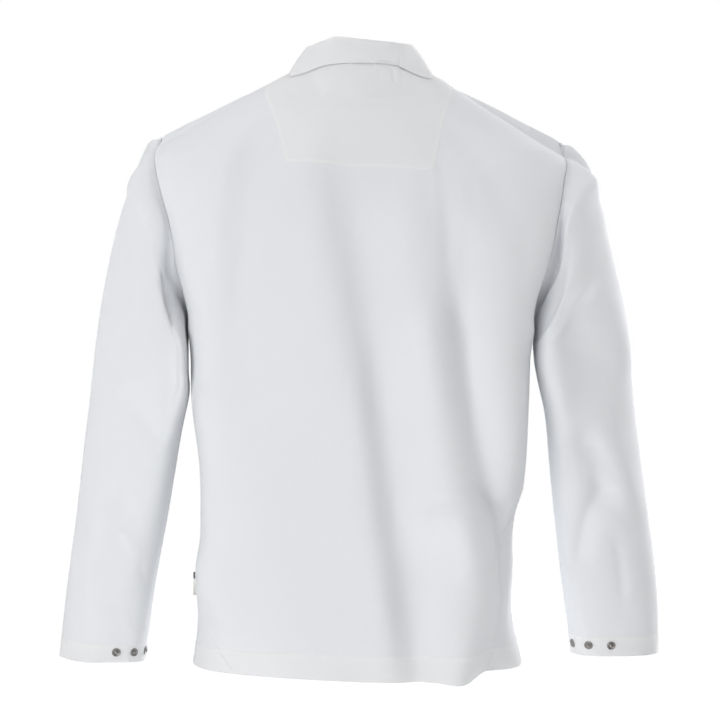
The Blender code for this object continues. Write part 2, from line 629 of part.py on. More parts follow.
def grid_normals(points):
    return unit(np.cross(np.gradient(points, axis=0), np.gradient(points, axis=1)))


def collar_ring(turn):
    """The outer edge of the stand's top."""
    sine, cosine = np.sin(turn), np.cos(turn)
    depth = np.where(cosine > 0, COLLAR_DEPTH["back"], COLLAR_DEPTH["front"])
    degrees = np.degrees(np.abs(turn))
    height = np.where(turn > 0, COLLAR_TOP.at("left", degrees), COLLAR_TOP.at("right", degrees))
    return np.stack([COLLAR_WIDTH * sine, depth * cosine, height], axis=-1)


def stand_points(turn):
    """The stand's outer face, from just above the neck seam to its top."""
    rise = body_points(turn, NECK_LEVEL) - body_points(turn, NECK_LEVEL - PROBE)
    foot = body_points(turn, NECK_LEVEL) + COLLAR_GAP * unit(rise)
    up = np.linspace(0, 1, STAND_UP + 1)[:, None, None]
    return foot + (collar_ring(turn) - foot) * up


def collar_stand(material):
    outer = stand_points(COLLAR_END * np.linspace(-1, 1, COLLAR_ACROSS + 1))
    inner = outer - STRIP_WALL * grid_normals(outer)
    add_part("collar_stand", wall("collar_stand", outer, inner), material)


def collar_fall(material):
    """The turned-down collar: over the stand's top in a roll, then out and down to its edge."""
    turn = COLLAR_END * np.linspace(-1, 1, COLLAR_ACROSS + 1)
    stand = stand_points(turn)
    out = grid_normals(stand)[-1]
    up = unit(np.cross(np.gradient(stand[-1], axis=0), out))
    degrees = np.degrees(np.abs(turn * FALL_END))
    edge = body_points(turn * FALL_END, FALL_EDGE.at("level", degrees), FALL_EDGE.at("off", degrees))
    crown = stand[-1] + (COLLAR_GAP + STRIP_WALL) * up
    rows = [crown - STRIP_WALL * out]
    for angle in ROLL_ANGLES:
        rows.append(crown + ROLL * (math.sin(angle) * out + (math.cos(angle) - 1) * up))
    for down in np.linspace(0, 1, FALL_DOWN + 1)[1:]:
        rows.append(rows[len(ROLL_ANGLES)] + (edge - rows[len(ROLL_ANGLES)]) * down)
    outer = np.stack(rows[::-1])
    inner = outer - STRIP_WALL * grid_normals(outer)
    add_part("collar_fall", wall("collar_fall", outer, inner), material)


def body_strip(name, turn, level, out, material):
    """A strip on the body's own points, its inner face moved out or in by a distance."""
    level = np.broadcast_to(level, turn.shape)
    outer, inner = body_points(turn, level, out + STRIP_WALL), body_points(turn, level, out)
    add_part(name, wall(name, outer, inner), material)


def neck_facing(material):
    """It shares the back panel's rows, and ends short of the neck seam."""
    low, high = FACING.rows[0, 0], FACING.rows[-1, 0]
    rows = body_levels()
    level = np.array([low, *rows[(rows > low) & (rows < high)], high])[:, None]
    left, right = np.radians(FACING.at("left", level)), -np.radians(FACING.at("right", level))
    turn = right + (left - right) * np.linspace(0, 1, FACING_ACROSS + 1)
    body_strip("neck_facing", turn, level, -WALL - FACING_GAP - STRIP_WALL, material)


def placket(material):
    """Two strips over and under the slit, on the front panel's rows."""
    rows = body_levels()
    level = rows[rows > SLIT_BOTTOM - PLACKET_BELOW][:, None]
    half = PLACKET_WIDTH / 2 / BODY.at("front", level)
    turn = np.pi + half * np.linspace(-1, 1, PLACKET_ACROSS + 1)
    body_strip("placket_over", turn, level, LAYER_GAP, material)
    body_strip("placket_under", turn, level, -WALL - LAYER_GAP - STRIP_WALL, material)


def side_label(material):
    level, reach = np.meshgrid(np.linspace(LABEL_BOTTOM, LABEL_TOP, 4), [SEAM_GAP, LABEL_REACH], indexing="ij")
    turn = np.radians(SIDE_SEAM.at("left", level))
    middle = body_points(turn, level, reach)
    across = np.array([0, LABEL_WALL / 2, 0])
    add_part("side_label", wall("side_label", middle + across, middle - across), material)


def snap_mesh(name):
    mesh = bpy.data.meshes.new(name)
    points = [(radius, 0, height) for _, radius, height in SNAP_PROFILE]
    mesh.from_pydata(points, [(row, row + 1) for row in range(len(points) - 1)], [])
    return mesh


def cuff_snaps(side, material):
    mesh = snap_mesh(f"snap_{side}")
    along = np.array(sleeve_length(side) - SNAP_ABOVE_CUFF)
    for number, angle in enumerate(SNAP_ANGLES[side], start=1):
        around = np.array(math.radians(angle))
        normal = Vector(sleeve_normals(around, along, side))
        part = add_part(f"snap_{side}_{number}", mesh, material)
        part.location = sleeve_points(around, along, side, BAND_RAISE + SEAM_GAP)
        part.rotation_euler = normal.to_track_quat("Z", "Y").to_euler()
        turning = part.modifiers.new("turned", "SCREW")
        turning.steps = turning.render_steps = SNAP_SIDES
        turning.use_merge_vertices = True
        turning.merge_threshold = 1e-5


def clear_scene():
    for item in list(bpy.data.objects):
        bpy.data.objects.remove(item, do_unlink=True)
    collection = bpy.data.collections.new(COLLECTION_NAME)
    bpy.context.scene.collection.children.link(collection)


def main():
    clear_scene()
    white_cloth = finish("white_cloth", (0.86, 0.88, 0.90), 0.85)
    back_panel(white_cloth)
    front_panel(white_cloth)
    sleeve("left", white_cloth)
    sleeve("right", white_cloth)
    collar_stand(white_cloth)
    collar_fall(white_cloth)
    neck_facing(white_cloth)
    placket(white_cloth)
    side_label(finish("label_tape", (0.80, 0.80, 0.76), 0.6))
    bright_metal = finish("bright_metal", (0.66, 0.65, 0.62), 0.22, 1.0)
    cuff_snaps("left", bright_metal)
    cuff_snaps("right", bright_metal)


main()
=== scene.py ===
import math

import bpy
import numpy as np
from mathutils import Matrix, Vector


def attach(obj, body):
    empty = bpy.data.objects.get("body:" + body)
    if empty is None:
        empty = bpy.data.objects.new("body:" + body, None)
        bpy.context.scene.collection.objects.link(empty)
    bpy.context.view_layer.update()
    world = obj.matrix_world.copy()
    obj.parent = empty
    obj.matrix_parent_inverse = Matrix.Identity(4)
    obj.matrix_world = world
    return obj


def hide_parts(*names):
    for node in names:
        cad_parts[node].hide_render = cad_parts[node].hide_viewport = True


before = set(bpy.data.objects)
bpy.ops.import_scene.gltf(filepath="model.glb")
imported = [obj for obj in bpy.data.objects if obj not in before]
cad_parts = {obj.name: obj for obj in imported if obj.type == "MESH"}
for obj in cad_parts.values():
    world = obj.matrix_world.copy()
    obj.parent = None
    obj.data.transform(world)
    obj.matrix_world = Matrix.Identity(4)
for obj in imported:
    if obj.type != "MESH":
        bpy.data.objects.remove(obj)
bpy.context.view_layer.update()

print("frame loaded")

# A white pullover work smock, filled out as worn. Metres, the front faces -Y, the wearer's left is +X.
# A place on the body is a turn, 0 at centre back and 90 degrees at the left side, and a row's level.
# A place on a sleeve is an angle, 0 outside and 90 at the back, and a length along from the shoulder.


class Rows:
    # rows of numbers under named columns, read as smooth curves along the first column
    def __init__(self, names, *rows):
        self.names = names.split()
        self.rows = np.array(sorted(rows), float)

    def column(self, name):
        return self.rows[:, self.names.index(name)]

    def at(self, name, where):
        marks, values = self.rows[:, 0], self.column(name)
        slopes = np.gradient(values, marks)
        low = np.clip(np.searchsorted(marks, where) - 1, 0, len(marks) - 2)
        span = marks[low + 1] - marks[low]
        t = np.clip((where - marks[low]) / span, 0, 1)
        rise = values[low + 1] - values[low]
        start, end = slopes[low] * span, slopes[low + 1] * span
        bend, twist = 3 * rise - 2 * start - end, start + end - 2 * rise
        return values[low] + t * start + t**2 * bend + t**3 * twist


def smooth(value, low, high):
    t = np.clip((value - low) / (high - low), 0, 1)
    return t * t * (3 - 2 * t)


def wrapped(angle):
    return (angle + np.pi) % (2 * np.pi) - np.pi


def unit(vectors):
    return vectors / np.linalg.norm(vectors, axis=-1, keepdims=True)


# The body's form, the same as the CAD's
bodyRows = Rows(
    "level left right back front backSquare frontSquare",
    (-0.71, 0.203, 0.1985, 0.136, 0.142, 2.4, 2.4),
    (-0.65, 0.1945, 0.1865, 0.135, 0.141, 4, 2.7),
    (-0.588, 0.1953, 0.1885, 0.134, 0.14, 5.2, 2.8),
    (-0.555, 0.1905, 0.188, 0.134, 0.14, 5.4, 2.8),
    (-0.52, 0.19, 0.192, 0.134, 0.14, 5.6, 2.8),
    (-0.45, 0.19, 0.1985, 0.134, 0.14, 5.8, 2.8),
    (-0.39, 0.1952, 0.1985, 0.134, 0.141, 5.8, 2.8),
    (-0.34, 0.1968, 0.1985, 0.134, 0.141, 5.4, 2.8),
    (-0.3074, 0.2, 0.203, 0.134, 0.14, 5.2, 2.7),
    (-0.28, 0.2042, 0.2057, 0.134, 0.138, 5, 2.6),
    (-0.25, 0.2148, 0.2167, 0.133, 0.135, 4.7, 2.5),
    (-0.2, 0.2344, 0.2393, 0.13, 0.127, 3.9, 2.4),
    (-0.15, 0.256, 0.2584, 0.124, 0.116, 2.9, 2.2),
    (-0.1, 0.2605, 0.262, 0.1125, 0.106, 2.3, 2),
    (-0.0855, 0.2458, 0.2482, 0.108, 0.103, 2.1, 1.9),
    (-0.07, 0.2197, 0.2198, 0.102, 0.1, 2, 1.85),
    (-0.055, 0.1945, 0.1923, 0.096, 0.096, 1.95, 1.8),
    (-0.04, 0.1692, 0.1649, 0.089, 0.091, 1.9, 1.8),
    (-0.0268, 0.147, 0.142, 0.083, 0.086, 1.9, 1.85),
    (-0.0146, 0.1243, 0.122, 0.077, 0.081, 1.9, 1.9),
    (-0.0049, 0.1037, 0.1062, 0.073, 0.076, 1.95, 1.95),
    (0.0085, 0.0768, 0.0785, 0.067, 0.069, 2, 2),
)
armholeRows = Rows(
    "level backLeft backRight frontLeft frontRight",
    (-0.3074, 0.2, 0.203, 0.2, 0.203),
    (-0.29, 0.2004, 0.2025, 0.2, 0.2025),
    (-0.265, 0.2058, 0.207, 0.2018, 0.2045),
    (-0.235, 0.2135, 0.2165, 0.2065, 0.2085),
    (-0.205, 0.2175, 0.2245, 0.2115, 0.2135),
    (-0.175, 0.224, 0.2305, 0.219, 0.22),
    (-0.145, 0.234, 0.237, 0.23, 0.231),
    (-0.115, 0.2425, 0.243, 0.243, 0.244),
    (-0.095, 0.2465, 0.248, 0.252, 0.254),
    (-0.0855, 0.2458, 0.2482, 0.2458, 0.2482),
)
sideSeamRows = Rows(
    "level left right",
    (-0.71, 54, 57),
    (-0.69, 56.5, 57.5),
    (-0.67, 59.5, 58.5),
    (-0.652, 66, 61),
    (-0.638, 76, 61.5),
    (-0.622, 84, 60.5),
    (-0.6, 87, 57),
    (-0.57, 88, 57),
    (-0.545, 89, 60),
    (-0.515, 90, 67),
    (-0.48, 90, 76),
    (-0.445, 90, 84),
    (-0.405, 90, 90),
)
rightDropRows = Rows(
    "level drop",
    (-0.45, 0),
    (-0.3074, 0.0025),
    (-0.2, 0.0078),
    (-0.0855, 0.0133),
    (-0.04, 0.0058),
    (0.0085, 0.0008),
)
body = {
    "hemLevel": -0.710,
    "neckLevel": 0.0085,
    "radius": 0.170,
    "armBottom": -0.3074,
    "armTop": -0.0855,
    "armDepth": {"back": 0.070, "front": 0.074},
    "armRoundTop": 1.0,
    "armRoundBottom": 1.35,
    "sideBlend": (0.55, 0.92),
    "hemDroop": 0.0048,
    "hemDroopHeight": 0.110,
    "hemDroopTurn": math.radians(-28),
    "neckDrop": 0.0735,
    "neckDropStart": -0.190,
    "ridgeRise": {"left": 0.0165, "right": 0.0240},
    "ridgeFrom": 0.018,
    "ridgeTo": 0.063,
    "ridgeBelow": 0.050,
    "ridgeEnd": -0.010,
    "ridgePower": 0.5,
}
armMiddle = (body["armBottom"] + body["armTop"]) / 2
armHalf = (body["armTop"] - body["armBottom"]) / 2
probe = 0.002  # the reach over which a surface's normals are taken
faces, sides = ("back", "front"), ("left", "right")
signs = {"left": 1, "right": -1}


def armEdge(level, face, side):
    # distance from the middle and depth of the body's edge at an armhole
    lift = np.clip((level - armMiddle) / armHalf, -1, 1)
    power = (body["armRoundTop"] * (1 + lift) + body["armRoundBottom"] * (1 - lift)) / 2
    edge = armholeRows.at(face + side.capitalize(), level)
    return edge, body["armDepth"][face] * (1 - lift**2) ** (power / 2)


def inArmhole(level):
    return (level > body["armBottom"]) & (level < body["armTop"])


def halfWidth(level, face, side):
    edge, depth = armEdge(level, face, side)
    power = bodyRows.at(face + "Square", level)
    through = edge / (1 - (depth / bodyRows.at(face, level)) ** power) ** (1 / power)
    return np.where(inArmhole(level), through, bodyRows.at(side, level))


def bodyForm(turn, level):
    sine, cosine = np.sin(turn), np.cos(turn)
    back, left = cosine > 0, sine > 0
    widths = {(face, side): halfWidth(level, face, side) for face in faces for side in sides}
    onLeft = np.where(back, widths["back", "left"], widths["front", "left"])
    onRight = np.where(back, widths["back", "right"], widths["front", "right"])
    plain = np.where(left, bodyRows.at("left", level), bodyRows.at("right", level))
    width = plain + (np.where(left, onLeft, onRight) - plain) * smooth(np.abs(sine), *body["sideBlend"])
    depth = np.where(back, bodyRows.at("back", level), bodyRows.at("front", level))
    power = np.where(back, bodyRows.at("backSquare", level), bodyRows.at("frontSquare", level))
    radius = (np.abs(sine / width) ** power + np.abs(cosine / depth) ** power) ** (-1 / power)
    x, y = radius * sine, radius * cosine
    z = level - rightDropRows.at("drop", level) * (1 - sine) / 2
    droopPart = np.clip(np.cos(turn - body["hemDroopTurn"]), 0, 1) ** 2
    z = z - body["hemDroop"] * droopPart * (
        1 - smooth(level, body["hemLevel"], body["hemLevel"] + body["hemDroopHeight"])
    )
    frontPart = np.clip(-cosine, 0, 1) ** 2
    z = z - body["neckDrop"] * frontPart * smooth(level, body["neckDropStart"], body["neckLevel"])
    ridge = smooth(-y, 0, body["ridgeFrom"]) * (1 - smooth(-y, body["ridgeFrom"], body["ridgeTo"]))
    alongRidge = (body["ridgeEnd"] - level) / (body["ridgeEnd"] - body["armTop"])
    ridge = ridge * np.clip(alongRidge, 0, 1) ** body["ridgePower"]
    ridge = ridge * smooth(level, body["armTop"] - body["ridgeBelow"], body["armTop"])
    rise = np.where(left, body["ridgeRise"]["left"], body["ridgeRise"]["right"])
    return np.stack([x, y, z + rise * ridge], axis=-1)


# Folds and creases. Each runs through three places. Across its run it lifts the cloth by
# (height + slope * distance), fading over its two widths. The broad ones are the CAD's own.
foldColumns = "turnA placeA turnB placeB turnC placeC height slope upper lower".split()


def foldRows(*rows):
    return [dict(zip(foldColumns, row)) for row in rows]


bodyFolds = foldRows(
    (62, -0.012, 0, -0.031, -60, -0.014, -0.0045, 0, 0.009, 0.012),
    (58, -0.04, 53, -0.25, 57, -0.52, 0, 0.2, 0.04, 0.04),
    (57, -0.06, 50.5, -0.22, 55, -0.4, 0, 0.46, 0.01, 0.011),
    (26, -0.055, -3, -0.37, -26, -0.79, 0, 0.24, 0.028, 0.025),
    (26, -0.055, -3, -0.37, -26, -0.79, 0, 0.16, 0.06, 0.055),
    (1, -0.3, -11, -0.52, -24, -0.76, 0, 0.22, 0.018, 0.018),
    (-37, -0.12, -39.5, -0.35, -56, -0.62, 0, 0.46, 0.032, 0.014),
    (-37, -0.24, -42.5, -0.42, -53, -0.6, 0, 0.85, 0.022, 0.013),
    (-50, -0.05, -55, -0.14, -62, -0.26, 0, 0.16, 0.012, 0.01),
    (-45, -0.09, -54, -0.3, -53, -0.54, 0.0085, 0, 0.018, 0.012),
    (-60, -0.05, -57, -0.2, -60, -0.46, 0, -0.24, 0.032, 0.032),
    (-64, -0.514, -52.5, -0.507, -42, -0.484, -0.0045, 0, 0.01, 0.008),
    (-46, -0.49, -50, -0.61, -47, -0.85, 0, 0.74, 0.022, 0.022),
    (-56, -0.5, -58, -0.62, -56, -0.85, 0, 0.26, 0.04, 0.04),
    (-37, -0.54, -36, -0.64, -34, -0.74, 0, 0.14, 0.01, 0.01),
    (62, -0.55, 56, -0.62, 51, -0.69, 0.003, 0, 0.014, 0.014),
    (128, -0.18, 140, -0.34, 136.5, -0.56, 0, -0.22, 0.026, 0.032),
    (205, -0.15, 214.5, -0.33, 207, -0.62, 0, 0.26, 0.03, 0.022),
    (244, -0.32, 236.5, -0.46, 237.5, -0.64, 0, 0.24, 0.024, 0.024),
    (115, -0.42, 124, -0.52, 120.5, -0.64, 0, -0.2, 0.022, 0.026),
)
bodyCreases = foldRows(
    (-37, 0.008, -34, -0.006, -31, -0.02, 0.0013, 0, 0.003, 0.0035),
    (-31, 0.006, -30, -0.006, -29, -0.014, -0.001, 0, 0.003, 0.003),
    (-17, 0.008, -15, -0.001, -13, -0.01, 0.0008, 0, 0.003, 0.003),
    (46, -0.004, 38, -0.016, 28, -0.026, -0.0014, 0, 0.005, 0.006),
    (-64.5, -0.15, -61, -0.195, -58.5, -0.25, -0.0012, 0, 0.0045, 0.0045),
    (-66, -0.5, -62, -0.522, -59, -0.552, 0.0016, 0, 0.006, 0.005),
    (-65.5, -0.47, -56, -0.484, -48, -0.5, -0.0012, 0, 0.004, 0.004),
    (62.5, -0.56, 59, -0.612, 54, -0.66, 0.0012, 0, 0.005, 0.004),
    (53.5, -0.285, 54.5, -0.335, 56.5, -0.39, -0.001, 0, 0.006, 0.006),
    (-40, -0.09, -37, -0.17, -36, -0.3, 0, 0.2, 0.007, 0.006),
    (-50, -0.11, -43.5, -0.187, -41.5, -0.28, 0, 0.16, 0.006, 0.006),
    (-42.5, -0.405, -45.5, -0.475, -51, -0.56, -0.001, 0, 0.007, 0.006),
    (-48, -0.1, -50, -0.16, -51, -0.215, -0.0012, 0, 0.005, 0.005),
    (-57, -0.12, -58, -0.23, -60, -0.34, 0, -0.22, 0.018, 0.014),
    (-40, -0.58, -43, -0.68, -46, -0.78, 0, 0.2, 0.014, 0.014),
    (60, -0.015, 30, -0.034, 0, -0.03, -0.001, 0, 0.004, 0.005),
    (0, -0.029, -30, -0.026, -58, -0.018, -0.0008, 0, 0.004, 0.005),
    (107, -0.335, 119.5, -0.3, 134, -0.25, -0.0016, 0, 0.007, 0.006),
    (253, -0.33, 240.5, -0.3, 228, -0.262, -0.0016, 0, 0.006, 0.007),
    (126.5, -0.2, 134.5, -0.32, 136.5, -0.47, -0.0012, 0, 0.007, 0.007),
    (208.5, -0.19, 213.5, -0.33, 209.5, -0.52, -0.0012, 0, 0.007, 0.007),
    (236, -0.36, 238, -0.46, 241.5, -0.6, -0.001, 0, 0.007, 0.006),
    (149.5, -0.43, 155, -0.54, 149, -0.69, 0.0014, 0, 0.01, 0.008),
)
sleeveRadius = 0.055
sleeveFolds = {
    "left": foldRows(
        (10, 0.06, 56, 0.036, 100, 0.004, 0.006, 0, 0.012, 0.016),
        (112, 0.03, 135, 0.12, 131, 0.35, -0.01, 0, 0.009, 0.01),
        (140, 0.01, 148, 0.12, 150, 0.27, 0.0035, 0, 0.012, 0.012),
        (70, 0.285, 106, 0.318, 140, 0.35, -0.004, 0, 0.013, 0.016),
        (60, 0.12, 74, 0.21, 66, 0.31, 0, 0.16, 0.022, 0.022),
        (120, 0.42, 104, 0.48, 96, 0.56, 0, 0.14, 0.018, 0.016),
        (300, 0.06, 262, 0.12, 236, 0.2, -0.004, 0, 0.016, 0.013),
        (310, 0.25, 268, 0.3, 226, 0.35, -0.0045, 0, 0.015, 0.012),
        (290, 0.39, 262, 0.44, 240, 0.52, 0, -0.18, 0.02, 0.016),
        # creases
        (100, 0.004, 117, 0.05, 121, 0.12, -0.0012, 0, 0.004, 0.004),
        (120, 0.12, 124, 0.19, 129, 0.262, -0.001, 0, 0.004, 0.004),
        (92, 0.3, 110, 0.322, 130, 0.345, -0.001, 0, 0.006, 0.005),
        (95, 0.462, 110, 0.477, 130, 0.502, 0.0014, 0, 0.006, 0.005),
        (128, 0.505, 146, 0.522, 160, 0.545, -0.0012, 0, 0.005, 0.005),
        (118, 0.57, 134, 0.588, 152, 0.598, 0.0012, 0, 0.006, 0.005),
        (70, 0.4, 82, 0.42, 100, 0.432, -0.001, 0, 0.006, 0.006),
        (96, 0.42, 98, 0.54, 98, 0.7, 0, -0.14, 0.026, 0.026),
        (60, 0.545, 80, 0.56, 100, 0.575, 0.0008, 0, 0.006, 0.006),
        (306, 0.3, 272, 0.325, 236, 0.338, -0.0012, 0, 0.006, 0.005),
        (300, 0.47, 270, 0.492, 244, 0.52, 0.0012, 0, 0.006, 0.006),
        (250, 0.13, 238, 0.19, 232, 0.25, -0.0012, 0, 0.006, 0.006),
    ),
    "right": foldRows(
        (6, 0.06, 48, 0.038, 96, 0.004, 0.006, 0, 0.012, 0.016),
        (90, 0, 112, 0.05, 150, 0.12, -0.0055, 0, 0.013, 0.013),
        (118, 0.02, 110, 0.08, 96, 0.15, -0.003, 0, 0.011, 0.009),
        (98, 0.155, 74, 0.225, 52, 0.31, 0, -0.36, 0.018, 0.02),
        (134, 0.08, 129, 0.21, 134, 0.33, 0.0035, 0, 0.012, 0.012),
        (104, 0.335, 85, 0.39, 66, 0.46, 0, -0.42, 0.014, 0.016),
        (76, 0.41, 110, 0.45, 142, 0.53, -0.005, 0, 0.012, 0.01),
        (82, 0.465, 80, 0.52, 79, 0.59, -0.0025, 0, 0.008, 0.01),
        (300, 0.06, 262, 0.12, 236, 0.2, -0.004, 0, 0.016, 0.013),
        (306, 0.27, 266, 0.31, 228, 0.35, -0.0045, 0, 0.015, 0.012),
        (286, 0.42, 262, 0.47, 244, 0.54, 0, 0.18, 0.02, 0.016),
        # creases
        (60, 0.01, 108, 0.01, 152, 0.016, -0.013, 0, 0.006, 0.008),
        (20, 0.06, 56, 0.028, 96, 0.014, 0.003, 0, 0.005, 0.006),
        (112, 0.012, 110, 0.07, 100, 0.14, -0.0012, 0, 0.004, 0.004),
        (88, 0, 106, 0.02, 132, 0.04, -0.001, 0, 0.004, 0.004),
        (100, 0.36, 86, 0.384, 72, 0.432, -0.0012, 0, 0.006, 0.005),
        (88, 0.42, 110, 0.445, 147, 0.528, -0.0012, 0, 0.005, 0.004),
        (81, 0.487, 80, 0.52, 79, 0.56, -0.0012, 0, 0.004, 0.004),
        (60, 0.52, 70, 0.545, 84, 0.58, 0.0012, 0, 0.006, 0.005),
        (130, 0.1, 129, 0.2, 133, 0.32, 0.001, 0, 0.008, 0.008),
        (302, 0.305, 270, 0.322, 236, 0.34, -0.0012, 0, 0.006, 0.005),
        (296, 0.48, 268, 0.5, 246, 0.528, 0.0012, 0, 0.006, 0.006),
        (248, 0.13, 238, 0.19, 230, 0.25, -0.0012, 0, 0.006, 0.006),
    ),
}
foldSteps, foldFade, foldReach = 12, 0.20, 3.5


def foldPath(fold, radius):
    start, middle, end = (
        np.array([radius * math.radians(fold[f"turn{key}"]), fold[f"place{key}"]]) for key in "ABC"
    )
    share = np.linspace(0, 1, foldSteps + 1)[:, None]
    pull = 2 * middle - (start + end) / 2
    return (1 - share) ** 2 * start + 2 * share * (1 - share) * pull + share**2 * end


def foldRelief(folds, turn, place, radius):
    turn, place = np.broadcast_arrays(turn, place)
    total = np.zeros(turn.shape)
    for fold in folds:
        path = foldPath(fold, radius)
        runsDown = abs(path[-1, 1] - path[0, 1]) > abs(path[-1, 0] - path[0, 0])
        middle = math.radians(fold["turnB"])
        around = radius * (middle + wrapped(turn - middle))
        margin = foldReach * max(fold["upper"], fold["lower"])
        low, high = path.min(axis=0) - margin, path.max(axis=0) + margin
        near = (around > low[0]) & (around < high[0]) & (place > low[1]) & (place < high[1])
        if not near.any():
            continue
        aroundNear, placeNear = around[near], place[near]
        nearest = np.full(aroundNear.shape, np.inf)
        run, across = np.zeros(aroundNear.shape), np.zeros(aroundNear.shape)
        for step, (start, end) in enumerate(zip(path, path[1:])):
            (dx, dy), reach = end - start, np.sum((end - start) ** 2)
            x, y = aroundNear - start[0], placeNear - start[1]
            t = np.clip((x * dx + y * dy) / reach, 0, 1)
            apart = np.hypot(x - t * dx, y - t * dy)
            nearer = apart < nearest
            nearest = np.where(nearer, apart, nearest)
            run = np.where(nearer, (step + t) / foldSteps, run)
            upward = np.sign(x - t * dx if runsDown else y - t * dy)
            across = np.where(nearer, upward * apart, across)
        width = np.where(across > 0, fold["upper"], fold["lower"])
        fade = smooth(run, 0, foldFade) * (1 - smooth(run, 1 - foldFade, 1))
        lift = fold["height"] + fold["slope"] * across
        total[near] += fade * lift * np.exp(-((across / width) ** 2) / 2)
    return total


# Slow uneven waves and small puckers, the same on every run
drape = {
    "waves": 16,
    "broad": (0.00030, 0.080, 0.170),
    "fine": (0.00004, 0.024, 0.040),
    "spread": (0.6, 1.5),
    "puckerWaves": 7,
    "puckerRest": 0.12,
    "swell": (0.6, 0.4, 3),
}


def ripple(turn, place, radius, size, lengthAround, lengthAlong, seed):
    random = np.random.default_rng(seed)
    total = np.zeros(np.broadcast(turn, place).shape)
    for wave in range(drape["waves"]):
        lean = random.uniform(0, 2 * np.pi)
        pull = random.uniform(*drape["spread"])
        phase = random.uniform(0, 2 * np.pi)
        around = round(2 * np.pi * radius * pull * math.cos(lean) / lengthAround)
        along = 2 * np.pi * pull * math.sin(lean) / lengthAlong
        total += np.sin(around * turn + along * place + phase)
    return size * total / math.sqrt(drape["waves"] / 2)


def patches(turn, places):
    # how strongly puckers show: a little everywhere, more at a few places in degrees of turn
    total = drape["puckerRest"]
    for middle, spread in places:
        apart = np.degrees(wrapped(turn - math.radians(middle)))
        total = total + np.exp(-((apart / spread) ** 2))
    return total


def puckers(turn, apart, radius, size, spacing, reach, seed):
    random = np.random.default_rng(seed)
    total = np.zeros(np.broadcast(turn, apart).shape)
    for wave in range(drape["puckerWaves"]):
        around = round(2 * np.pi * radius / spacing * random.uniform(*drape["spread"]))
        total += np.sin(around * turn + random.uniform(0, 2 * np.pi))
    rest, rise, times = drape["swell"]
    swell = rest + rise * np.sin(times * turn + seed)
    return size * swell * total / math.sqrt(drape["puckerWaves"] / 2) * np.exp(-((apart / reach) ** 2))


# The neck facing inside the back, by its side edges. It shows through as a faint raised shape.
facingRows = Rows(
    "level left right",
    (-0.111, 37, 37),
    (-0.079, 44, 43.5),
    (-0.048, 54.5, 53),
    (-0.02, 70, 69),
    (-0.008, 79, 79),
    (0.0077, 86, 86),
)
facing = {
    "raise": 0.0006,
    "step": 0.004,
    "gap": 0.0006,
    "thickness": 0.0007,
    "radius": 0.150,
    "cells": (110, 44),
}
hem = {
    "width": 0.030,
    "stitch": 0.0285,
    "raise": 0.0004,
    "fold": 0.0018,
    "leastWall": 0.42,
    "puckers": (0.00032, 0.014, 0.013),
    "patches": ((-38, 13), (96, 9), (152, 14), (236, 12)),
}
cuff = {
    "width": 0.024,
    "stitch": 0.0225,
    "raise": 0.0004,
    "fold": 0.0018,
    "leastWall": 0.52,
    "puckers": (0.00012, 0.013, 0.010),
}
cloth = {
    "thickness": 0.0007,
    "seamDip": 0.0009,
    "seamWidth": 0.0016,
    "stitchDip": 0.0004,
    "stitchWidth": 0.0012,
    "bandEdge": 0.001,
    "foldEdge": 0.0008,
    "pastStitch": 0.001,
    "layersReach": 0.03,
    "allDoubled": 0.02,
    "innerDraw": 0.96,
    "sharpFrom": math.radians(50),
}


def facingInside(turn, level):
    # metres inside the facing's edge, below zero outside it
    turn = wrapped(turn)
    left = (np.radians(facingRows.at("left", level)) - turn) * facing["radius"]
    right = (np.radians(facingRows.at("right", level)) + turn) * facing["radius"]
    return np.minimum(np.minimum(left, right), level - facingRows.rows[0, 0])


def seamDip(apart):
    return -cloth["seamDip"] * np.exp(-((apart / cloth["seamWidth"]) ** 2))


def bandRelief(apart, band):
    # a turned-up band stands out a little, with a dip along its stitches
    raised = band["raise"] * (1 - smooth(apart, band["stitch"], band["width"] + cloth["bandEdge"]))
    return raised - cloth["stitchDip"] * np.exp(-(((apart - band["stitch"]) / cloth["stitchWidth"]) ** 2))


def bandGrids(surface, normals, apart, band):
    # the outer and inner face of cloth that is turned up inside, with a round edge
    folded = 1 - smooth(apart, band["stitch"] + cloth["foldEdge"], band["width"] + cloth["foldEdge"])
    thickness = cloth["thickness"] + (band["fold"] - cloth["thickness"]) * folded
    draw = roundedEdge(apart, band["fold"] / 2)
    depth = np.maximum(thickness - draw, np.minimum(thickness, band["fold"] * band["leastWall"]))
    return surface - draw[..., None] * normals, surface - depth[..., None] * normals


def insideBand(apart, band):
    # metres inside the part where the cloth lies double
    return band["stitch"] + cloth["pastStitch"] - apart


def bodyRelief(turn, level):
    relief = foldRelief(bodyFolds, turn, level, body["radius"])
    relief = relief + foldRelief(bodyCreases, turn, level, body["radius"])
    relief = relief + ripple(turn, level, body["radius"], *drape["broad"], seed=11)
    relief = relief + ripple(turn, level, body["radius"], *drape["fine"], seed=12)
    half = facing["step"] / 2
    relief = relief + facing["raise"] * smooth(facingInside(turn, level), -half, half)
    aboveHem = level - body["hemLevel"]
    relief = relief + bandRelief(aboveHem, hem)
    gathered = puckers(turn, aboveHem - hem["stitch"], body["radius"], *hem["puckers"], seed=13)
    return relief + gathered * patches(turn, hem["patches"])


def normalsOf(form, first, second, stepFirst, stepSecond, sign):
    alongFirst = form(first + stepFirst, second) - form(first - stepFirst, second)
    alongSecond = form(first, second + stepSecond) - form(first, second - stepSecond)
    return sign * unit(np.cross(alongSecond, alongFirst))


def offTheRims(level):
    return np.clip(level, body["hemLevel"] + probe, body["neckLevel"] - probe)


def bodySurface(turn, level):
    normals = normalsOf(bodyForm, turn, offTheRims(level), probe / body["radius"], probe, 1)
    return bodyForm(turn, level) + bodyRelief(turn, level)[..., None] * normals


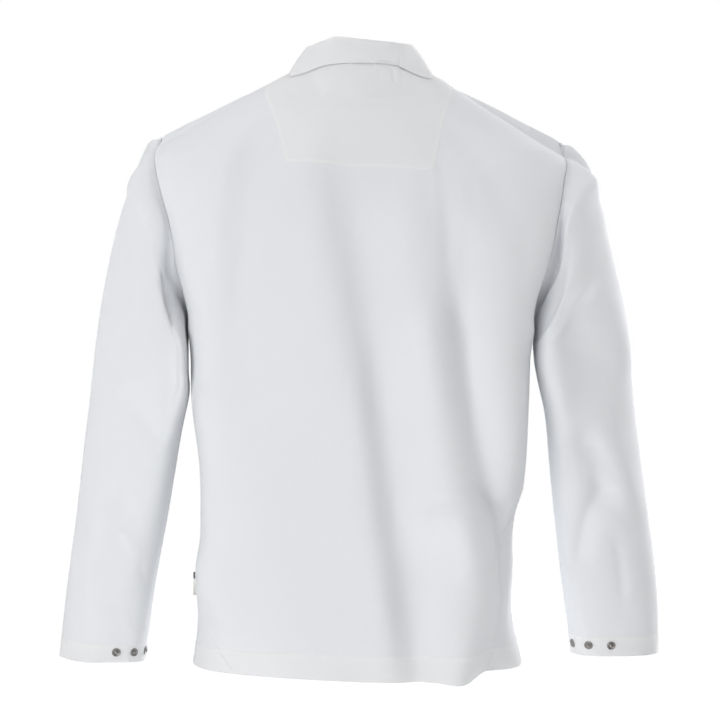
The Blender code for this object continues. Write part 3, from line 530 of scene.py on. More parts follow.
def bodyNormals(turn, level):
    return normalsOf(bodySurface, turn, offTheRims(level), probe / body["radius"], probe, 1)


def bodyPoints(turn, level, out=0.0):
    turn, level = np.broadcast_arrays(turn, level)
    return bodySurface(turn, level) + np.asarray(out)[..., None] * bodyNormals(turn, level)


def gridNormals(points, loop=False):
    if loop:
        wide = np.concatenate([points[:, -1:], points, points[:, :1]], axis=1)
        return unit(np.cross(np.gradient(points, axis=0), np.gradient(wide, axis=1)[:, 1:-1]))
    return unit(np.cross(np.gradient(points, axis=0), np.gradient(points, axis=1)))


def roundedEdge(apart, radius):
    # how far a surface draws in on its way to an edge
    left = np.clip(1 - apart / radius, 0, 1)
    return radius * (1 - np.sqrt(1 - left**2))


def addObject(name, data):
    thing = bpy.data.objects.new(name, data)
    bpy.context.scene.collection.objects.link(thing)
    return thing


def clothPiece(name, outer, inner, uv, finish, keep=None, loop=False, layers=None):
    # a closed sheet between two grids of points. uv has one more column than a looped grid.
    rows, columns = outer.shape[:2]
    count = rows * columns
    number = np.arange(count).reshape(rows, columns)
    first, beside = (number, np.roll(number, -1, axis=1)) if loop else (number[:, :-1], number[:, 1:])
    quads = np.stack([first[:-1], first[1:], beside[1:], beside[:-1]], axis=-1)
    marks = np.stack([uv[:-1, :-1], uv[1:, :-1], uv[1:, 1:], uv[:-1, 1:]], axis=-2)
    if keep is not None:
        quads, marks = quads[keep], marks[keep]
    quads, marks = quads.reshape(-1, 4), marks.reshape(-1, 4, 2)
    starts, ends = quads.ravel(), np.roll(quads, -1, axis=1).ravel()
    atRim = ~np.isin(starts * count + ends, ends * count + starts)
    startMarks, endMarks = marks.reshape(-1, 2)[atRim], np.roll(marks, -1, axis=1).reshape(-1, 2)[atRim]
    starts, ends = starts[atRim], ends[atRim]
    rim = np.stack([ends, starts, starts + count, ends + count], axis=-1)
    rimMarks = np.stack([endMarks, startMarks, startMarks, endMarks], axis=-2)
    allFaces = np.concatenate([quads, quads[:, ::-1] + count, rim])
    allMarks = np.concatenate([marks, marks[:, ::-1], rimMarks])
    mesh = bpy.data.meshes.new(name)
    points = np.concatenate([outer.reshape(-1, 3), inner.reshape(-1, 3)])
    mesh.from_pydata(points.tolist(), [], allFaces.tolist())
    mesh.uv_layers.new(name="cloth").data.foreach_set("uv", allMarks.astype(np.float32).ravel())
    if layers is not None:
        layers = np.clip(layers, -cloth["layersReach"], cloth["layersReach"])
        both = np.tile(np.broadcast_to(layers, (rows, columns)).ravel(), 2).astype(np.float32)
        mesh.attributes.new("layers", "FLOAT", "POINT").data.foreach_set("value", both)
    mesh.shade_smooth()
    mesh.set_sharp_from_angle(angle=cloth["sharpFrom"])
    mesh.materials.append(finish)
    return addObject(name, mesh)


def sideTurn(level, face, side):
    # the turn of a panel's edge: the side seam, then the armhole, then the shoulder seam
    seam = np.radians(sideSeamRows.at(side, level))
    edge, depth = armEdge(level, face, side)
    armhole = np.arctan2(edge, depth if face == "back" else -depth)
    return np.where(inArmhole(level), armhole, seam)


# Cells are close together at a rim and along the stitches
rimCells = np.array([0, 0.0003, 0.0008, 0.0016, 0.003])
stitchCells = np.array([-0.0025, -0.0012, -0.0005, 0.0005, 0.0012, 0.0025])
plainFrom = 0.004
panel = {
    "seamGap": 0.0002,
    "edges": (0.0, 0.0005, 0.0012, 0.0022, 0.0038, 0.0062),
    "middle": (0.024, 0.976),
    "leastReach": 0.15,
    "cellsAcross": 150,
    "rowsBelowArm": 112,
    "rowsInArm": 40,
    "rowsAboveArm": 40,
    "crowding": 1.6,
    "slitBottom": -0.310,
    "slitWidth": 0.002,
}


def bodyLevels():
    bottom, top = body["hemLevel"], body["neckLevel"]
    hemEdge = bottom + rimCells[:-1]
    stitch = bottom + hem["stitch"] + stitchCells
    below = np.linspace(bottom + plainFrom, body["armBottom"], panel["rowsBelowArm"])
    below = below[np.abs(below - bottom - hem["stitch"]) > plainFrom]
    share = np.linspace(-1, 1, 2 * panel["rowsInArm"] + 1)[1:]
    lift = np.sign(share) * (1 - (1 - np.abs(share)) ** panel["crowding"])
    above = np.linspace(body["armTop"], top, panel["rowsAboveArm"] + 1)[1:]
    return np.sort(np.concatenate([hemEdge, stitch, below, armMiddle + armHalf * lift, above]))


def levelReach():
    return np.maximum(bodyRows.at("left", bodyLevels()), panel["leastReach"])[:, None]


def panelTurns(low, high):
    # columns from one edge to the other, close together beside each edge
    inner = np.linspace(*panel["middle"], panel["cellsAcross"])
    offsets, reach = np.array(panel["edges"])[None, :], levelReach()
    middle = low[:, None] + (high - low)[:, None] * inner
    first, last = low[:, None] + offsets / reach, high[:, None] - offsets[:, ::-1] / reach
    return np.concatenate([first, middle, last], axis=1)


def edgeDistance(turn, low, high):
    return np.minimum(turn - low[:, None], high[:, None] - turn) * levelReach()


def panelGrids(turn, apart):
    # the outer and inner face of a body panel, with its hem turned up inside
    levels = bodyLevels()
    level = np.broadcast_to(levels[:, None], turn.shape)
    plain = bodyForm(turn, level)
    relief = bodyRelief(turn, level) + seamDip(apart)
    surface = plain + relief[..., None] * gridNormals(plain)
    normals = gridNormals(surface)
    aboveHem = level - body["hemLevel"]
    outer, inner = bandGrids(surface, normals, aboveHem, hem)
    doubled = np.maximum(insideBand(aboveHem, hem), facingInside(turn, level))
    uv = np.stack([turn * body["radius"], level], axis=-1)
    return outer, inner, uv, doubled


def backPanel(finish):
    levels = bodyLevels()
    halfGap = panel["seamGap"] / 2 / bodyRows.at("left", levels)
    left = sideTurn(levels, "back", "left") - halfGap
    right = -sideTurn(levels, "back", "right") + halfGap
    turn = panelTurns(right, left)
    outer, inner, uv, doubled = panelGrids(turn, edgeDistance(turn, right, left))
    return clothPiece("backPanel", outer, inner, uv, finish, layers=doubled)


def frontPanel(finish):
    # one piece with a slit from the neck: above the slit's end the middle cells are open
    levels = bodyLevels()
    halfGap = panel["seamGap"] / 2 / bodyRows.at("left", levels)
    left = sideTurn(levels, "front", "left") + halfGap
    right = 2 * np.pi - sideTurn(levels, "front", "right") - halfGap
    turn = panelTurns(left, right)
    halfSlit = (panel["slitWidth"] / 2 / bodyRows.at("front", levels))[:, None]
    middle = turn.shape[1] // 2
    turn[:, middle - 1 : middle + 1] = np.pi + halfSlit * np.array([-1, 1])
    keep = np.ones((turn.shape[0] - 1, turn.shape[1] - 1), bool)
    keep[levels[:-1] > panel["slitBottom"], middle - 1] = False
    outer, inner, uv, doubled = panelGrids(turn, edgeDistance(turn, left, right))
    return clothPiece("frontPanel", outer, inner, uv, finish, keep=keep, layers=doubled)


# The sleeves: the outer and inner lines seen from behind, the depth to the back and front, where
# the middle lies, and how far the inner line lies behind it
sleeveRows = {
    "left": Rows(
        "along outerX outerZ innerX innerZ back front middle innerBack",
        (0, 0.2458, -0.0855, 0.2, -0.3074, 0.07, 0.074, 0, 0),
        (0.015, 0.256, -0.088, 0.206, -0.3072, 0.07, 0.073, 0, 0.011),
        (0.04, 0.27, -0.113, 0.2066, -0.31, 0.069, 0.071, 0, 0.048),
        (0.08, 0.2852, -0.15, 0.2044, -0.32, 0.067, 0.068, 0, 0.072),
        (0.14, 0.302, -0.21, 0.2024, -0.338, 0.065, 0.065, 0.001, 0.08),
        (0.19, 0.312, -0.259, 0.2018, -0.36, 0.064, 0.063, 0.002, 0.078),
        (0.24, 0.3193, -0.307, 0.2018, -0.38, 0.063, 0.061, 0.003, 0.066),
        (0.32, 0.329, -0.393, 0.2135, -0.427, 0.061, 0.058, 0.002, 0.04),
        (0.44, 0.3447, -0.515, 0.2328, -0.53, 0.056, 0.052, -0.006, 0.012),
        (0.56, 0.3615, -0.637, 0.2555, -0.645, 0.049, 0.047, -0.018, 0),
        (0.63, 0.3702, -0.708, 0.2642, -0.7125, 0.045, 0.044, -0.026, 0),
    ),
    "right": Rows(
        "along outerX outerZ innerX innerZ back front middle innerBack",
        (0, 0.2482, -0.0988, 0.203, -0.3099, 0.07, 0.074, 0, 0),
        (0.015, 0.2575, -0.1, 0.2086, -0.3097, 0.07, 0.073, 0, 0.008),
        (0.04, 0.2762, -0.116, 0.2096, -0.312, 0.069, 0.071, 0, 0.024),
        (0.08, 0.293, -0.15, 0.2086, -0.32, 0.067, 0.068, 0, 0.04),
        (0.14, 0.305, -0.2, 0.2078, -0.333, 0.065, 0.065, 0.001, 0.044),
        (0.19, 0.3155, -0.25, 0.2088, -0.35, 0.064, 0.063, 0.002, 0.048),
        (0.24, 0.3262, -0.305, 0.213, -0.372, 0.063, 0.061, 0.003, 0.046),
        (0.32, 0.333, -0.39, 0.2225, -0.415, 0.061, 0.058, 0.002, 0.036),
        (0.44, 0.3505, -0.515, 0.2345, -0.52, 0.056, 0.052, -0.006, 0.012),
        (0.56, 0.366, -0.637, 0.2505, -0.637, 0.049, 0.047, -0.018, 0.006),
        (0.624, 0.3683, -0.703, 0.26, -0.703, 0.045, 0.044, -0.026, 0),
    ),
}
sleeveSizes = {
    "gap": 0.0002,
    "tuck": 0.0006,
    "headBlend": 0.150,
    "innerSquare": 3.0,
    "innerBackPower": (2, 10),
    "headDip": 0.6,
    "seed": {"left": 21, "right": 31},
    "foldStart": 0.012,
    "headPuckers": (0.075, 0.0004, 0.014, 0.014),
    "headPuckerStart": 0.003,
    "seamSamples": 960,
    "cellsAround": 132,
    "cell": 0.0034,
    "headCells": (0, 0.0006, 0.0014, 0.0026, 0.0045, 0.0072),
    "middleFrom": 0.0105,
}
armSeamLines = {}


def armRing(around, side):
    level = armMiddle + armHalf * np.cos(around)
    turns = {face: np.arctan2(*armEdge(level, face, side)) for face in faces}
    turn = np.where(np.sin(around) >= 0, turns["back"], np.pi - turns["front"])
    return signs[side] * turn, level


def armSeamLine(side):
    # the sleeve's edge: a gap off the body's edge and tucked a little under it
    around = np.linspace(0, 2 * np.pi, sleeveSizes["seamSamples"] + 1)
    small = 1e-3
    run = bodyPoints(*armRing(around + small, side)) - bodyPoints(*armRing(around - small, side))
    turn, level = armRing(around, side)
    normals = bodyNormals(turn, level)
    away = signs[side] * unit(np.cross(run, normals))
    return bodySurface(turn, level) + sleeveSizes["gap"] * away - sleeveSizes["tuck"] * normals


def armSeam(around, side):
    line, samples = armSeamLines[side], sleeveSizes["seamSamples"]
    where = (around / (2 * np.pi) % 1) * samples
    low = np.minimum(np.floor(where).astype(int), samples - 1)
    return line[low] + (where - low)[..., None] * (line[low + 1] - line[low])


def sleeveRing(around, along, side):
    rows, sign = sleeveRows[side], signs[side]
    outerX, innerX = sign * rows.at("outerX", along), sign * rows.at("innerX", along)
    outerZ, innerZ = rows.at("outerZ", along), rows.at("innerZ", along)
    cosine, sine = np.cos(around), np.sin(around)
    square = sleeveSizes["innerSquare"]
    fuller = (1 - np.abs(cosine) ** square) ** (1 / square)
    out = np.where((sine > 0) & (cosine < 0), fuller, sine)
    depth = np.where(sine > 0, rows.at("back", along), rows.at("front", along))
    x = (outerX + innerX) / 2 + (outerX - innerX) / 2 * cosine
    z = (outerZ + innerZ) / 2 + (outerZ - innerZ) / 2 * cosine
    y = rows.at("middle", along) + depth * out
    power = np.where(sine > 0, *sleeveSizes["innerBackPower"])
    y = y + rows.at("innerBack", along) * ((1 - cosine) / 2) ** power
    return np.stack([x, y, z], axis=-1)


def sleeveForm(around, along, side):
    head = 1 - smooth(along, 0, sleeveSizes["headBlend"])
    offset = armSeam(around, side) - sleeveRing(around, np.zeros_like(along), side)
    return sleeveRing(around, along, side) + head[..., None] * offset


def sleeveLength(side):
    return sleeveRows[side].column("along")[-1]


def sleeveRelief(around, along, side):
    seed = sleeveSizes["seed"][side]
    aboveCuff = sleeveLength(side) - along
    relief = foldRelief(sleeveFolds[side], around, along, sleeveRadius)
    relief = relief + ripple(around, along, sleeveRadius, *drape["broad"], seed=seed)
    relief = relief + ripple(around, along, sleeveRadius, *drape["fine"], seed=seed + 1)
    relief = relief * smooth(along, 0, sleeveSizes["foldStart"])
    relief = relief + bandRelief(aboveCuff, cuff)
    fromStitch = aboveCuff - cuff["stitch"]
    relief = relief + puckers(around, fromStitch, sleeveRadius, *cuff["puckers"], seed=seed + 2)
    easing = puckers(around, along, *sleeveSizes["headPuckers"], seed=seed + 3)
    return relief + easing * smooth(along, 0, sleeveSizes["headPuckerStart"])


def sleeveNormalsOf(form, around, along, side):
    along = np.clip(along, probe, sleeveLength(side) - probe)
    return normalsOf(lambda a, b: form(a, b, side), around, along, probe / sleeveRadius, probe, signs[side])


def sleeveSurface(around, along, side):
    normals = sleeveNormalsOf(sleeveForm, around, along, side)
    return sleeveForm(around, along, side) + sleeveRelief(around, along, side)[..., None] * normals


def sleevePoints(around, along, side, out=0.0):
    around, along = np.broadcast_arrays(around, along)
    normals = sleeveNormalsOf(sleeveSurface, around, along, side)
    return sleeveSurface(around, along, side) + np.asarray(out)[..., None] * normals


def sleeve(side, finish):
    length = sleeveLength(side)
    stitch = length - cuff["stitch"] + stitchCells
    middle = np.arange(sleeveSizes["middleFrom"], length - plainFrom, sleeveSizes["cell"])
    middle = middle[np.abs(middle - length + cuff["stitch"]) > plainFrom]
    rows = np.sort(np.concatenate([sleeveSizes["headCells"], middle, stitch, length - rimCells]))
    count = sleeveSizes["cellsAround"]
    angles = 2 * np.pi * np.arange(count + 1) / count
    around, along = np.meshgrid(angles, rows)
    around = around[:, :: signs[side]]
    uv = np.stack([around * sleeveRadius, along], axis=-1)
    around, along = around[:, :-1], along[:, :-1]
    plain = sleeveForm(around, along, side)
    relief = sleeveRelief(around, along, side) + seamDip(along) * sleeveSizes["headDip"]
    surface = plain + relief[..., None] * gridNormals(plain, loop=True)
    normals = gridNormals(surface, loop=True)
    outer, inner = bandGrids(surface, normals, length - along, cuff)
    doubled = insideBand(length - along, cuff)
    return clothPiece(f"sleeve{side.capitalize()}", outer, inner, uv, finish, loop=True, layers=doubled)


# The collar: heights of its top, then where the fall's edge lies on the body and how far it stands off
collarTopRows = Rows(
    "turn left right",
    (0, 0.0368, 0.0368),
    (15, 0.039, 0.0354),
    (28, 0.0404, 0.0347),
    (42, 0.0372, 0.0347),
    (60, 0.0345, 0.0355),
    (90, 0.0347, 0.0372),
    (120, 0.027, 0.0275),
    (150, 0, 0),
    (180, -0.028, -0.028),
)
fallEdgeRows = Rows(
    "turn level off",
    (0, 0.0074, 0.0012),
    (20, 0.0072, 0.0012),
    (35, 0.0056, 0.0012),
    (45, 0.001, 0.0013),
    (53, -0.004, 0.0013),
    (61, -0.0064, 0.0013),
    (69, -0.001, 0.0013),
    (77, 0.0035, 0.0014),
    (90, 0.0052, 0.0015),
    (112, -0.004, 0.0018),
    (130, -0.022, 0.0036),
    (156, -0.05, 0.0038),
)
collar = {
    "width": 0.0640,
    "depth": {"back": 0.0575, "front": 0.0620},
    "end": math.radians(178),
    "fallEnd": 156 / 178,
    "gap": 0.0006,
    "thickness": 0.0008,
    "roll": 0.0024,
    "rollTo": 100,
    "rollSteps": 8,
    "height": 0.035,
    "fallRadius": 0.07,
    "bulge": 0.0008,
    "stitch": 0.0036,
    "stitchDip": 0.00055,
    "stitchWidth": 0.0014,
    "stitchSunk": 0.0002,
    "stitchFrom": 3,
    "puckers": (0.08, 0.00028, 0.011, 0.010),
    "patches": ((-42, 7), (-16, 6), (66, 6), (140, 12)),
    "cellsAround": 190,
    "cellsUp": 12,
    "cellsUnderFall": 3,
    "cellsDown": 16,
}


def collarRing(turn):
    sine, cosine = np.sin(turn), np.cos(turn)
    depth = np.where(cosine > 0, collar["depth"]["back"], collar["depth"]["front"])
    degrees = np.degrees(np.abs(turn))
    height = np.where(turn > 0, collarTopRows.at("left", degrees), collarTopRows.at("right", degrees))
    return np.stack([collar["width"] * sine, depth * cosine, height], axis=-1)


def standPoints(turn, cells):
    top = np.full_like(turn, body["neckLevel"])
    rise = bodyPoints(turn, top) - bodyPoints(turn, top - probe)
    foot = bodyPoints(turn, top) + collar["gap"] * unit(rise)
    up = np.linspace(0, 1, cells + 1)[:, None, None]
    return foot + (collarRing(turn) - foot) * up


def collarTurns():
    return collar["end"] * np.linspace(-1, 1, collar["cellsAround"] + 1)


def collarStand(finish):
    turn = collarTurns()
    outer = standPoints(turn, collar["cellsUp"])
    inner = outer - collar["thickness"] * gridNormals(outer)
    heights = np.linspace(0, collar["height"], outer.shape[0])[:, None]
    uv = np.stack(np.broadcast_arrays(turn * collar["width"], heights), axis=-1)
    return clothPiece("collarStand", outer, inner, uv, finish, layers=cloth["allDoubled"])


def fallGrid():
    # over the stand's top in a roll, then out and down to the edge
    turn = collarTurns()
    stand = standPoints(turn, collar["cellsUnderFall"])
    out = gridNormals(stand)[-1]
    up = unit(np.cross(np.gradient(stand[-1], axis=0), out))
    degrees = np.degrees(np.abs(turn * collar["fallEnd"]))
    level, off = fallEdgeRows.at("level", degrees), fallEdgeRows.at("off", degrees)
    edge = bodyPoints(turn * collar["fallEnd"], level, off)
    crown = stand[-1] + (collar["gap"] + collar["thickness"]) * up
    rows = [crown - collar["thickness"] * out]
    for angle in np.radians(np.linspace(0, collar["rollTo"], collar["rollSteps"])):
        rows.append(crown + collar["roll"] * (math.sin(angle) * out + (math.cos(angle) - 1) * up))
    start = rows[-1]
    side = unit(np.cross(np.gradient(start, axis=0), edge - start))
    for down in np.linspace(0, 1, collar["cellsDown"] + 1)[1:]:
        bulge = collar["bulge"] * math.sin(math.pi * down) * np.sign(np.sum(side * out, axis=-1))
        rows.append(start + (edge - start) * down + bulge[:, None] * side)
    return turn, np.stack(rows[::-1])


def fallWithSizes():
    # the fall's points, how far each is from the edge, and their normals
    turn, surface = fallGrid()
    steps = np.linalg.norm(np.diff(surface, axis=0), axis=-1)
    apart = np.concatenate([np.zeros((1, len(turn))), np.cumsum(steps, axis=0)])
    return turn, surface, apart, gridNormals(surface)


def collarFall(finish):
    turn, surface, apart, normals = fallWithSizes()
    wave = puckers(turn, apart - collar["stitch"], *collar["puckers"], seed=41)
    wave = wave * patches(turn, collar["patches"])
    dip = -collar["stitchDip"] * np.exp(-(((apart - collar["stitch"]) / collar["stitchWidth"]) ** 2))
    surface = surface + (wave + dip)[..., None] * normals
    draw = roundedEdge(apart, collar["thickness"] / 2)
    outer = surface - draw[..., None] * normals
    inner = surface - (collar["thickness"] - draw * cloth["innerDraw"])[..., None] * normals
    uv = np.stack([np.broadcast_to(turn * collar["fallRadius"], apart.shape), apart], axis=-1)
    return clothPiece("collarFall", outer, inner, uv, finish, layers=cloth["allDoubled"])


def neckFacing(finish):
    low, high = facingRows.rows[0, 0], facingRows.rows[-1, 0]
    across, up = facing["cells"]
    level = np.linspace(low, high, up + 1)[:, None]
    left, right = np.radians(facingRows.at("left", level)), -np.radians(facingRows.at("right", level))
    turn = right + (left - right) * np.linspace(0, 1, across + 1)
    level = np.broadcast_to(level, turn.shape)
    top = -cloth["thickness"] - facing["gap"]
    surface = bodySurface(turn, level)
    normals = gridNormals(surface)
    uv = np.stack([turn * body["radius"], level], axis=-1)
    outer, inner = surface + top * normals, surface + (top - facing["thickness"]) * normals
    return clothPiece("neckFacing", outer, inner, uv, finish, layers=cloth["allDoubled"])


# The placket's two strips, over and under the slit
placket = {
    "width": 0.035,
    "below": 0.025,
    "gap": 0.0005,
    "thickness": 0.0011,
    "stitchIn": 0.002,
    "stitchBelowNeck": 0.006,
    "belowNeck": 0.0006,
    "crowding": 0.8,
    "cells": (22, 110),
}


def placketStrip(name, out, finish):
    low, high = panel["slitBottom"] - placket["below"], body["neckLevel"] - placket["belowNeck"]
    across, up = placket["cells"]
    level = np.linspace(low, high, up + 1)[:, None]
    half = placket["width"] / 2 / bodyRows.at("front", level)
    share = np.linspace(-1, 1, across + 1)
    turn = np.pi + half * np.sign(share) * np.abs(share) ** placket["crowding"]
    level = np.broadcast_to(level, turn.shape)
    surface = bodySurface(turn, level)
    normals = gridNormals(surface)
    fromEdge = np.minimum((1 - np.abs(share)) * placket["width"] / 2, 1)
    draw = roundedEdge(np.broadcast_to(fromEdge, turn.shape), placket["thickness"] / 2)
    uv = np.stack([turn * body["radius"], level], axis=-1)
    outer = surface + (out + placket["thickness"] - draw)[..., None] * normals
    inner = surface + (out + draw * cloth["innerDraw"])[..., None] * normals
    return clothPiece(name, outer, inner, uv, finish, layers=cloth["allDoubled"])


# The bare tab in the left side seam, a tape folded in two: a dark block at its top, the rest off-white
label = {
    "top": -0.6014,
    "bottom": -0.6270,
    "reach": 0.0062,
    "thickness": 0.00035,
    "block": 0.0075,
    "fold": 0.0001,
    "offSeam": 0.0003,
    "curl": 0.0005,
    "curlTurn": 0.8,
    "cells": (32, 30),
}


def sideLabel(finish):
    across, up = label["cells"]
    half = label["thickness"] + label["fold"]
    straight = label["reach"] - half
    run = np.linspace(-1, 1, across + 1) * (straight + half * np.pi / 2)
    turned = np.abs(run) < half * np.pi / 2
    away = straight + half * np.pi / 2 - np.abs(run)
    reach = np.where(turned, straight + half * np.cos(run / half), away)
    side = np.where(turned, half * np.sin(run / half), np.sign(run) * half)
    level = np.linspace(label["bottom"], label["top"], up + 1)[:, None]
    level, reach = np.broadcast_arrays(level, label["offSeam"] + reach)
    middle = bodyPoints(np.radians(sideSeamRows.at("left", level)), level, reach)
    curl = label["curl"] * np.sin(np.pi * reach / label["reach"] * label["curlTurn"])
    outer = middle + (side + curl)[..., None] * np.array([0.0, 1.0, 0.0])
    inner = outer - label["thickness"] * gridNormals(outer)
    uv = np.stack([np.broadcast_to(run, level.shape), label["top"] - level], axis=-1)
    return clothPiece("sideLabel", outer, inner, uv, finish)


# The snap caps are turned from this profile, radius and height: post, hollow, rim
snapProfile = (
    (0, 0.00252),
    (0.0007, 0.0025),
    (0.0014, 0.00238),
    (0.0018, 0.00215),
    (0.002, 0.0018),
    (0.00205, 0.0011),
    (0.0024, 0.0007),
    (0.0029, 0.00062),
    (0.0033, 0.0008),
    (0.0036, 0.00118),
    (0.004, 0.00138),
    (0.0045, 0.00136),
    (0.0049, 0.00112),
    (0.0052, 0.0007),
    (0.0052, 0.00012),
    (0.005, 0),
    (0, 0),
)
snap = {
    "angles": {"left": (113, 142, 171), "right": (100, 131, 163)},
    "aboveCuff": 0.0135,
    "gap": 0.0001,
    "sides": 40,
    "sharpFrom": math.radians(65),
}


def snapCap(side, number, angle, finish):
    along = np.array(sleeveLength(side) - snap["aboveCuff"])
    around = np.array(math.radians(angle))
    place = sleevePoints(around, along, side, snap["gap"])
    axis = Vector(sleeveNormalsOf(sleeveSurface, around, along, side))
    turned = np.array(axis.to_track_quat("Z", "Y").to_matrix())
    sweep = 2 * np.pi * np.arange(snap["sides"]) / snap["sides"]
    rings = [
        np.stack([radius * np.cos(sweep), radius * np.sin(sweep), np.full_like(sweep, height)], axis=-1)
        for radius, height in snapProfile[1:-1]
    ]
    points = np.concatenate([np.array([[0, 0, snapProfile[0][1]]]), *rings, np.array([[0, 0, 0.0]])])
    count, last = snap["sides"], len(points) - 1
    meshFaces = []
    for step in range(count):
        beside = (step + 1) % count
        meshFaces.append((0, 1 + step, 1 + beside))
        for ring in range(len(rings) - 1):
            inner, outer = 1 + ring * count, 1 + (ring + 1) * count
            meshFaces.append((inner + step, outer + step, outer + beside, inner + beside))
        base = 1 + (len(rings) - 1) * count
        meshFaces.append((base + step, last, base + beside))
    mesh = bpy.data.meshes.new("snap")
    mesh.from_pydata((points @ turned.T + place).tolist(), [], meshFaces)
    mesh.shade_smooth()
    mesh.set_sharp_from_angle(angle=snap["sharpFrom"])
    mesh.materials.append(finish)
    return addObject(f"snap{side.capitalize()}{number}", mesh)


# Materials
class Value:
    # a shader socket that can stand in an expression
    def __init__(self, maker, socket):
        self.maker, self.socket = maker, socket

    def math(self, operation, first, second):
        return self.maker.node("ShaderNodeMath", {"operation": operation}, {0: first, 1: second})

    def __add__(self, other):
        return self.math("ADD", self, other)

    def __radd__(self, other):
        return self.math("ADD", other, self)

    def __sub__(self, other):
        return self.math("SUBTRACT", self, other)

    def __rsub__(self, other):
        return self.math("SUBTRACT", other, self)

    def __mul__(self, other):
        return self.math("MULTIPLY", self, other)

    def __rmul__(self, other):
        return self.math("MULTIPLY", other, self)

    def sine(self):
        return self.math("SINE", self, 0)


class Maker:
    # a node tree being made. node() adds a node, with its settings first, then its sockets
    def __init__(self, tree):
        self.tree = tree

    def node(self, kind, settings=None, sockets=None, output=0):
        node = self.tree.nodes.new(kind)
        for name, value in (settings or {}).items():
            setattr(node, name, value)
        for key, value in (sockets or {}).items():
            self.put(node.inputs[key], value)
        return Value(self, node.outputs[output])

    def put(self, socket, value):
        if isinstance(value, Value):
            self.tree.links.new(value.socket, socket)
        else:
            socket.default_value = value


class Finish(Maker):
    # a material being made, and its shader
    def __init__(self, name):
        self.material = bpy.data.materials.new(name)
        self.material.use_nodes = True
        super().__init__(self.material.node_tree)
        self.shader = self.tree.nodes["Principled BSDF"]

    def set(self, **sockets):
        for name, value in sockets.items():
            self.put(self.shader.inputs[name.replace("_", " ")], value)

    def place(self):
        return self.node("ShaderNodeTexCoord", output=3)

    def split(self, vector):
        node = self.node("ShaderNodeSeparateXYZ", {}, {0: vector}).socket.node
        return [Value(self, socket) for socket in node.outputs]

    def mix(self, factor, first, second):
        settings = {"data_type": "RGBA"}
        return self.node("ShaderNodeMix", settings, {0: factor, 6: first, 7: second}, output=2)

    def step(self, value, low, high):
        sockets = {"Value": value, "From Min": low, "From Max": high}
        return self.node("ShaderNodeMapRange", {"interpolation_type": "SMOOTHSTEP"}, sockets)

    def noise(self, place, scale, detail=2.0):
        sockets = {"Vector": place, "Scale": scale, "Detail": detail}
        return self.node("ShaderNodeTexNoise", {}, sockets)

    def bump(self, height, strength, distance):
        sockets = {"Height": height, "Strength": strength, "Distance": distance}
        return self.node("ShaderNodeBump", {}, sockets)


clothLook = {
    "single": (0.808, 0.821, 0.845, 1),
    "doubled": (0.836, 0.838, 0.848, 1),
    "shade": (0.782, 0.792, 0.814, 1),
    "border": (0.872, 0.870, 0.872, 1),
    "roughness": 0.86,
    "sheen": 0.08,
    "threadPitch": 0.00042,
    "weaveDepth": 0.00008,
    "crumple": 0.00018,
    "crumpleScale": (160.0, 3.0),
    "layerStep": 0.00035,
    "layerEdge": 0.0004,
    "doubledShare": 0.75,
    "clouds": (9.0, 3.0),
    "cloudRange": (0.35, 0.75),
    "cloudShare": 0.22,
    "borderEnd": (0.0030, 0.0044),
    "borderShare": 0.5,
    "relief": 0.6,
}


def whiteCloth():
    made = Finish("white_cloth")
    place = made.place()
    across, up = made.split(made.node("ShaderNodeUVMap", {"uv_map": "cloth"}))[:2]
    layers = made.node("ShaderNodeAttribute", {"attribute_name": "layers"}, output=2)
    doubled = made.step(layers, -clothLook["layerEdge"], clothLook["layerEdge"])
    cloudy = made.step(made.noise(place, *clothLook["clouds"]), *clothLook["cloudRange"])
    colour = made.mix(doubled * clothLook["doubledShare"], clothLook["single"], clothLook["doubled"])
    colour = made.mix(cloudy * clothLook["cloudShare"], colour, clothLook["shade"])
    border = doubled * (1 - made.step(layers, *clothLook["borderEnd"]))
    colour = made.mix(border * clothLook["borderShare"], colour, clothLook["border"])
    rate = math.pi / clothLook["threadPitch"]
    weave = (across * rate).sine() * (up * rate).sine() * clothLook["weaveDepth"]
    crumple = made.noise(place, *clothLook["crumpleScale"]) * clothLook["crumple"]
    height = weave + crumple + doubled * clothLook["layerStep"]
    made.set(
        Base_Color=colour,
        Roughness=clothLook["roughness"],
        Sheen_Weight=clothLook["sheen"],
        Sheen_Roughness=0.5,
        Specular_IOR_Level=0.25,
        Normal=made.bump(height, clothLook["relief"], 1.0),
    )
    return made.material


threadLook = {
    "dark": (0.80, 0.81, 0.83, 1),
    "light": (0.88, 0.88, 0.89, 1),
    "twist": (2600.0, 1.0),
    "relief": (0.3, 0.0001),
}


def threadFinish():
    made = Finish("thread")
    place = made.place()
    twist = made.noise(place, *threadLook["twist"])
    colour = made.mix(twist, threadLook["dark"], threadLook["light"])
    normal = made.bump(twist, *threadLook["relief"])
    made.set(Base_Color=colour, Roughness=0.6, Sheen_Weight=0.1, Normal=normal)
    return made.material


labelLook = {
    "dark": (0.105, 0.110, 0.120, 1),
    "darkFuzz": (0.19, 0.19, 0.20, 1),
    "light": (0.78, 0.77, 0.72, 1),
    "lightFuzz": (0.84, 0.83, 0.80, 1),
    "fuzz": (900.0, 2.0),
    "fuzzShare": {"light": 0.25, "dark": 0.3},
    "fuzzHeight": 0.0001,
    "edge": 0.0003,
    "ribs": 0.0007,
    "ribHeight": 0.00006,
}


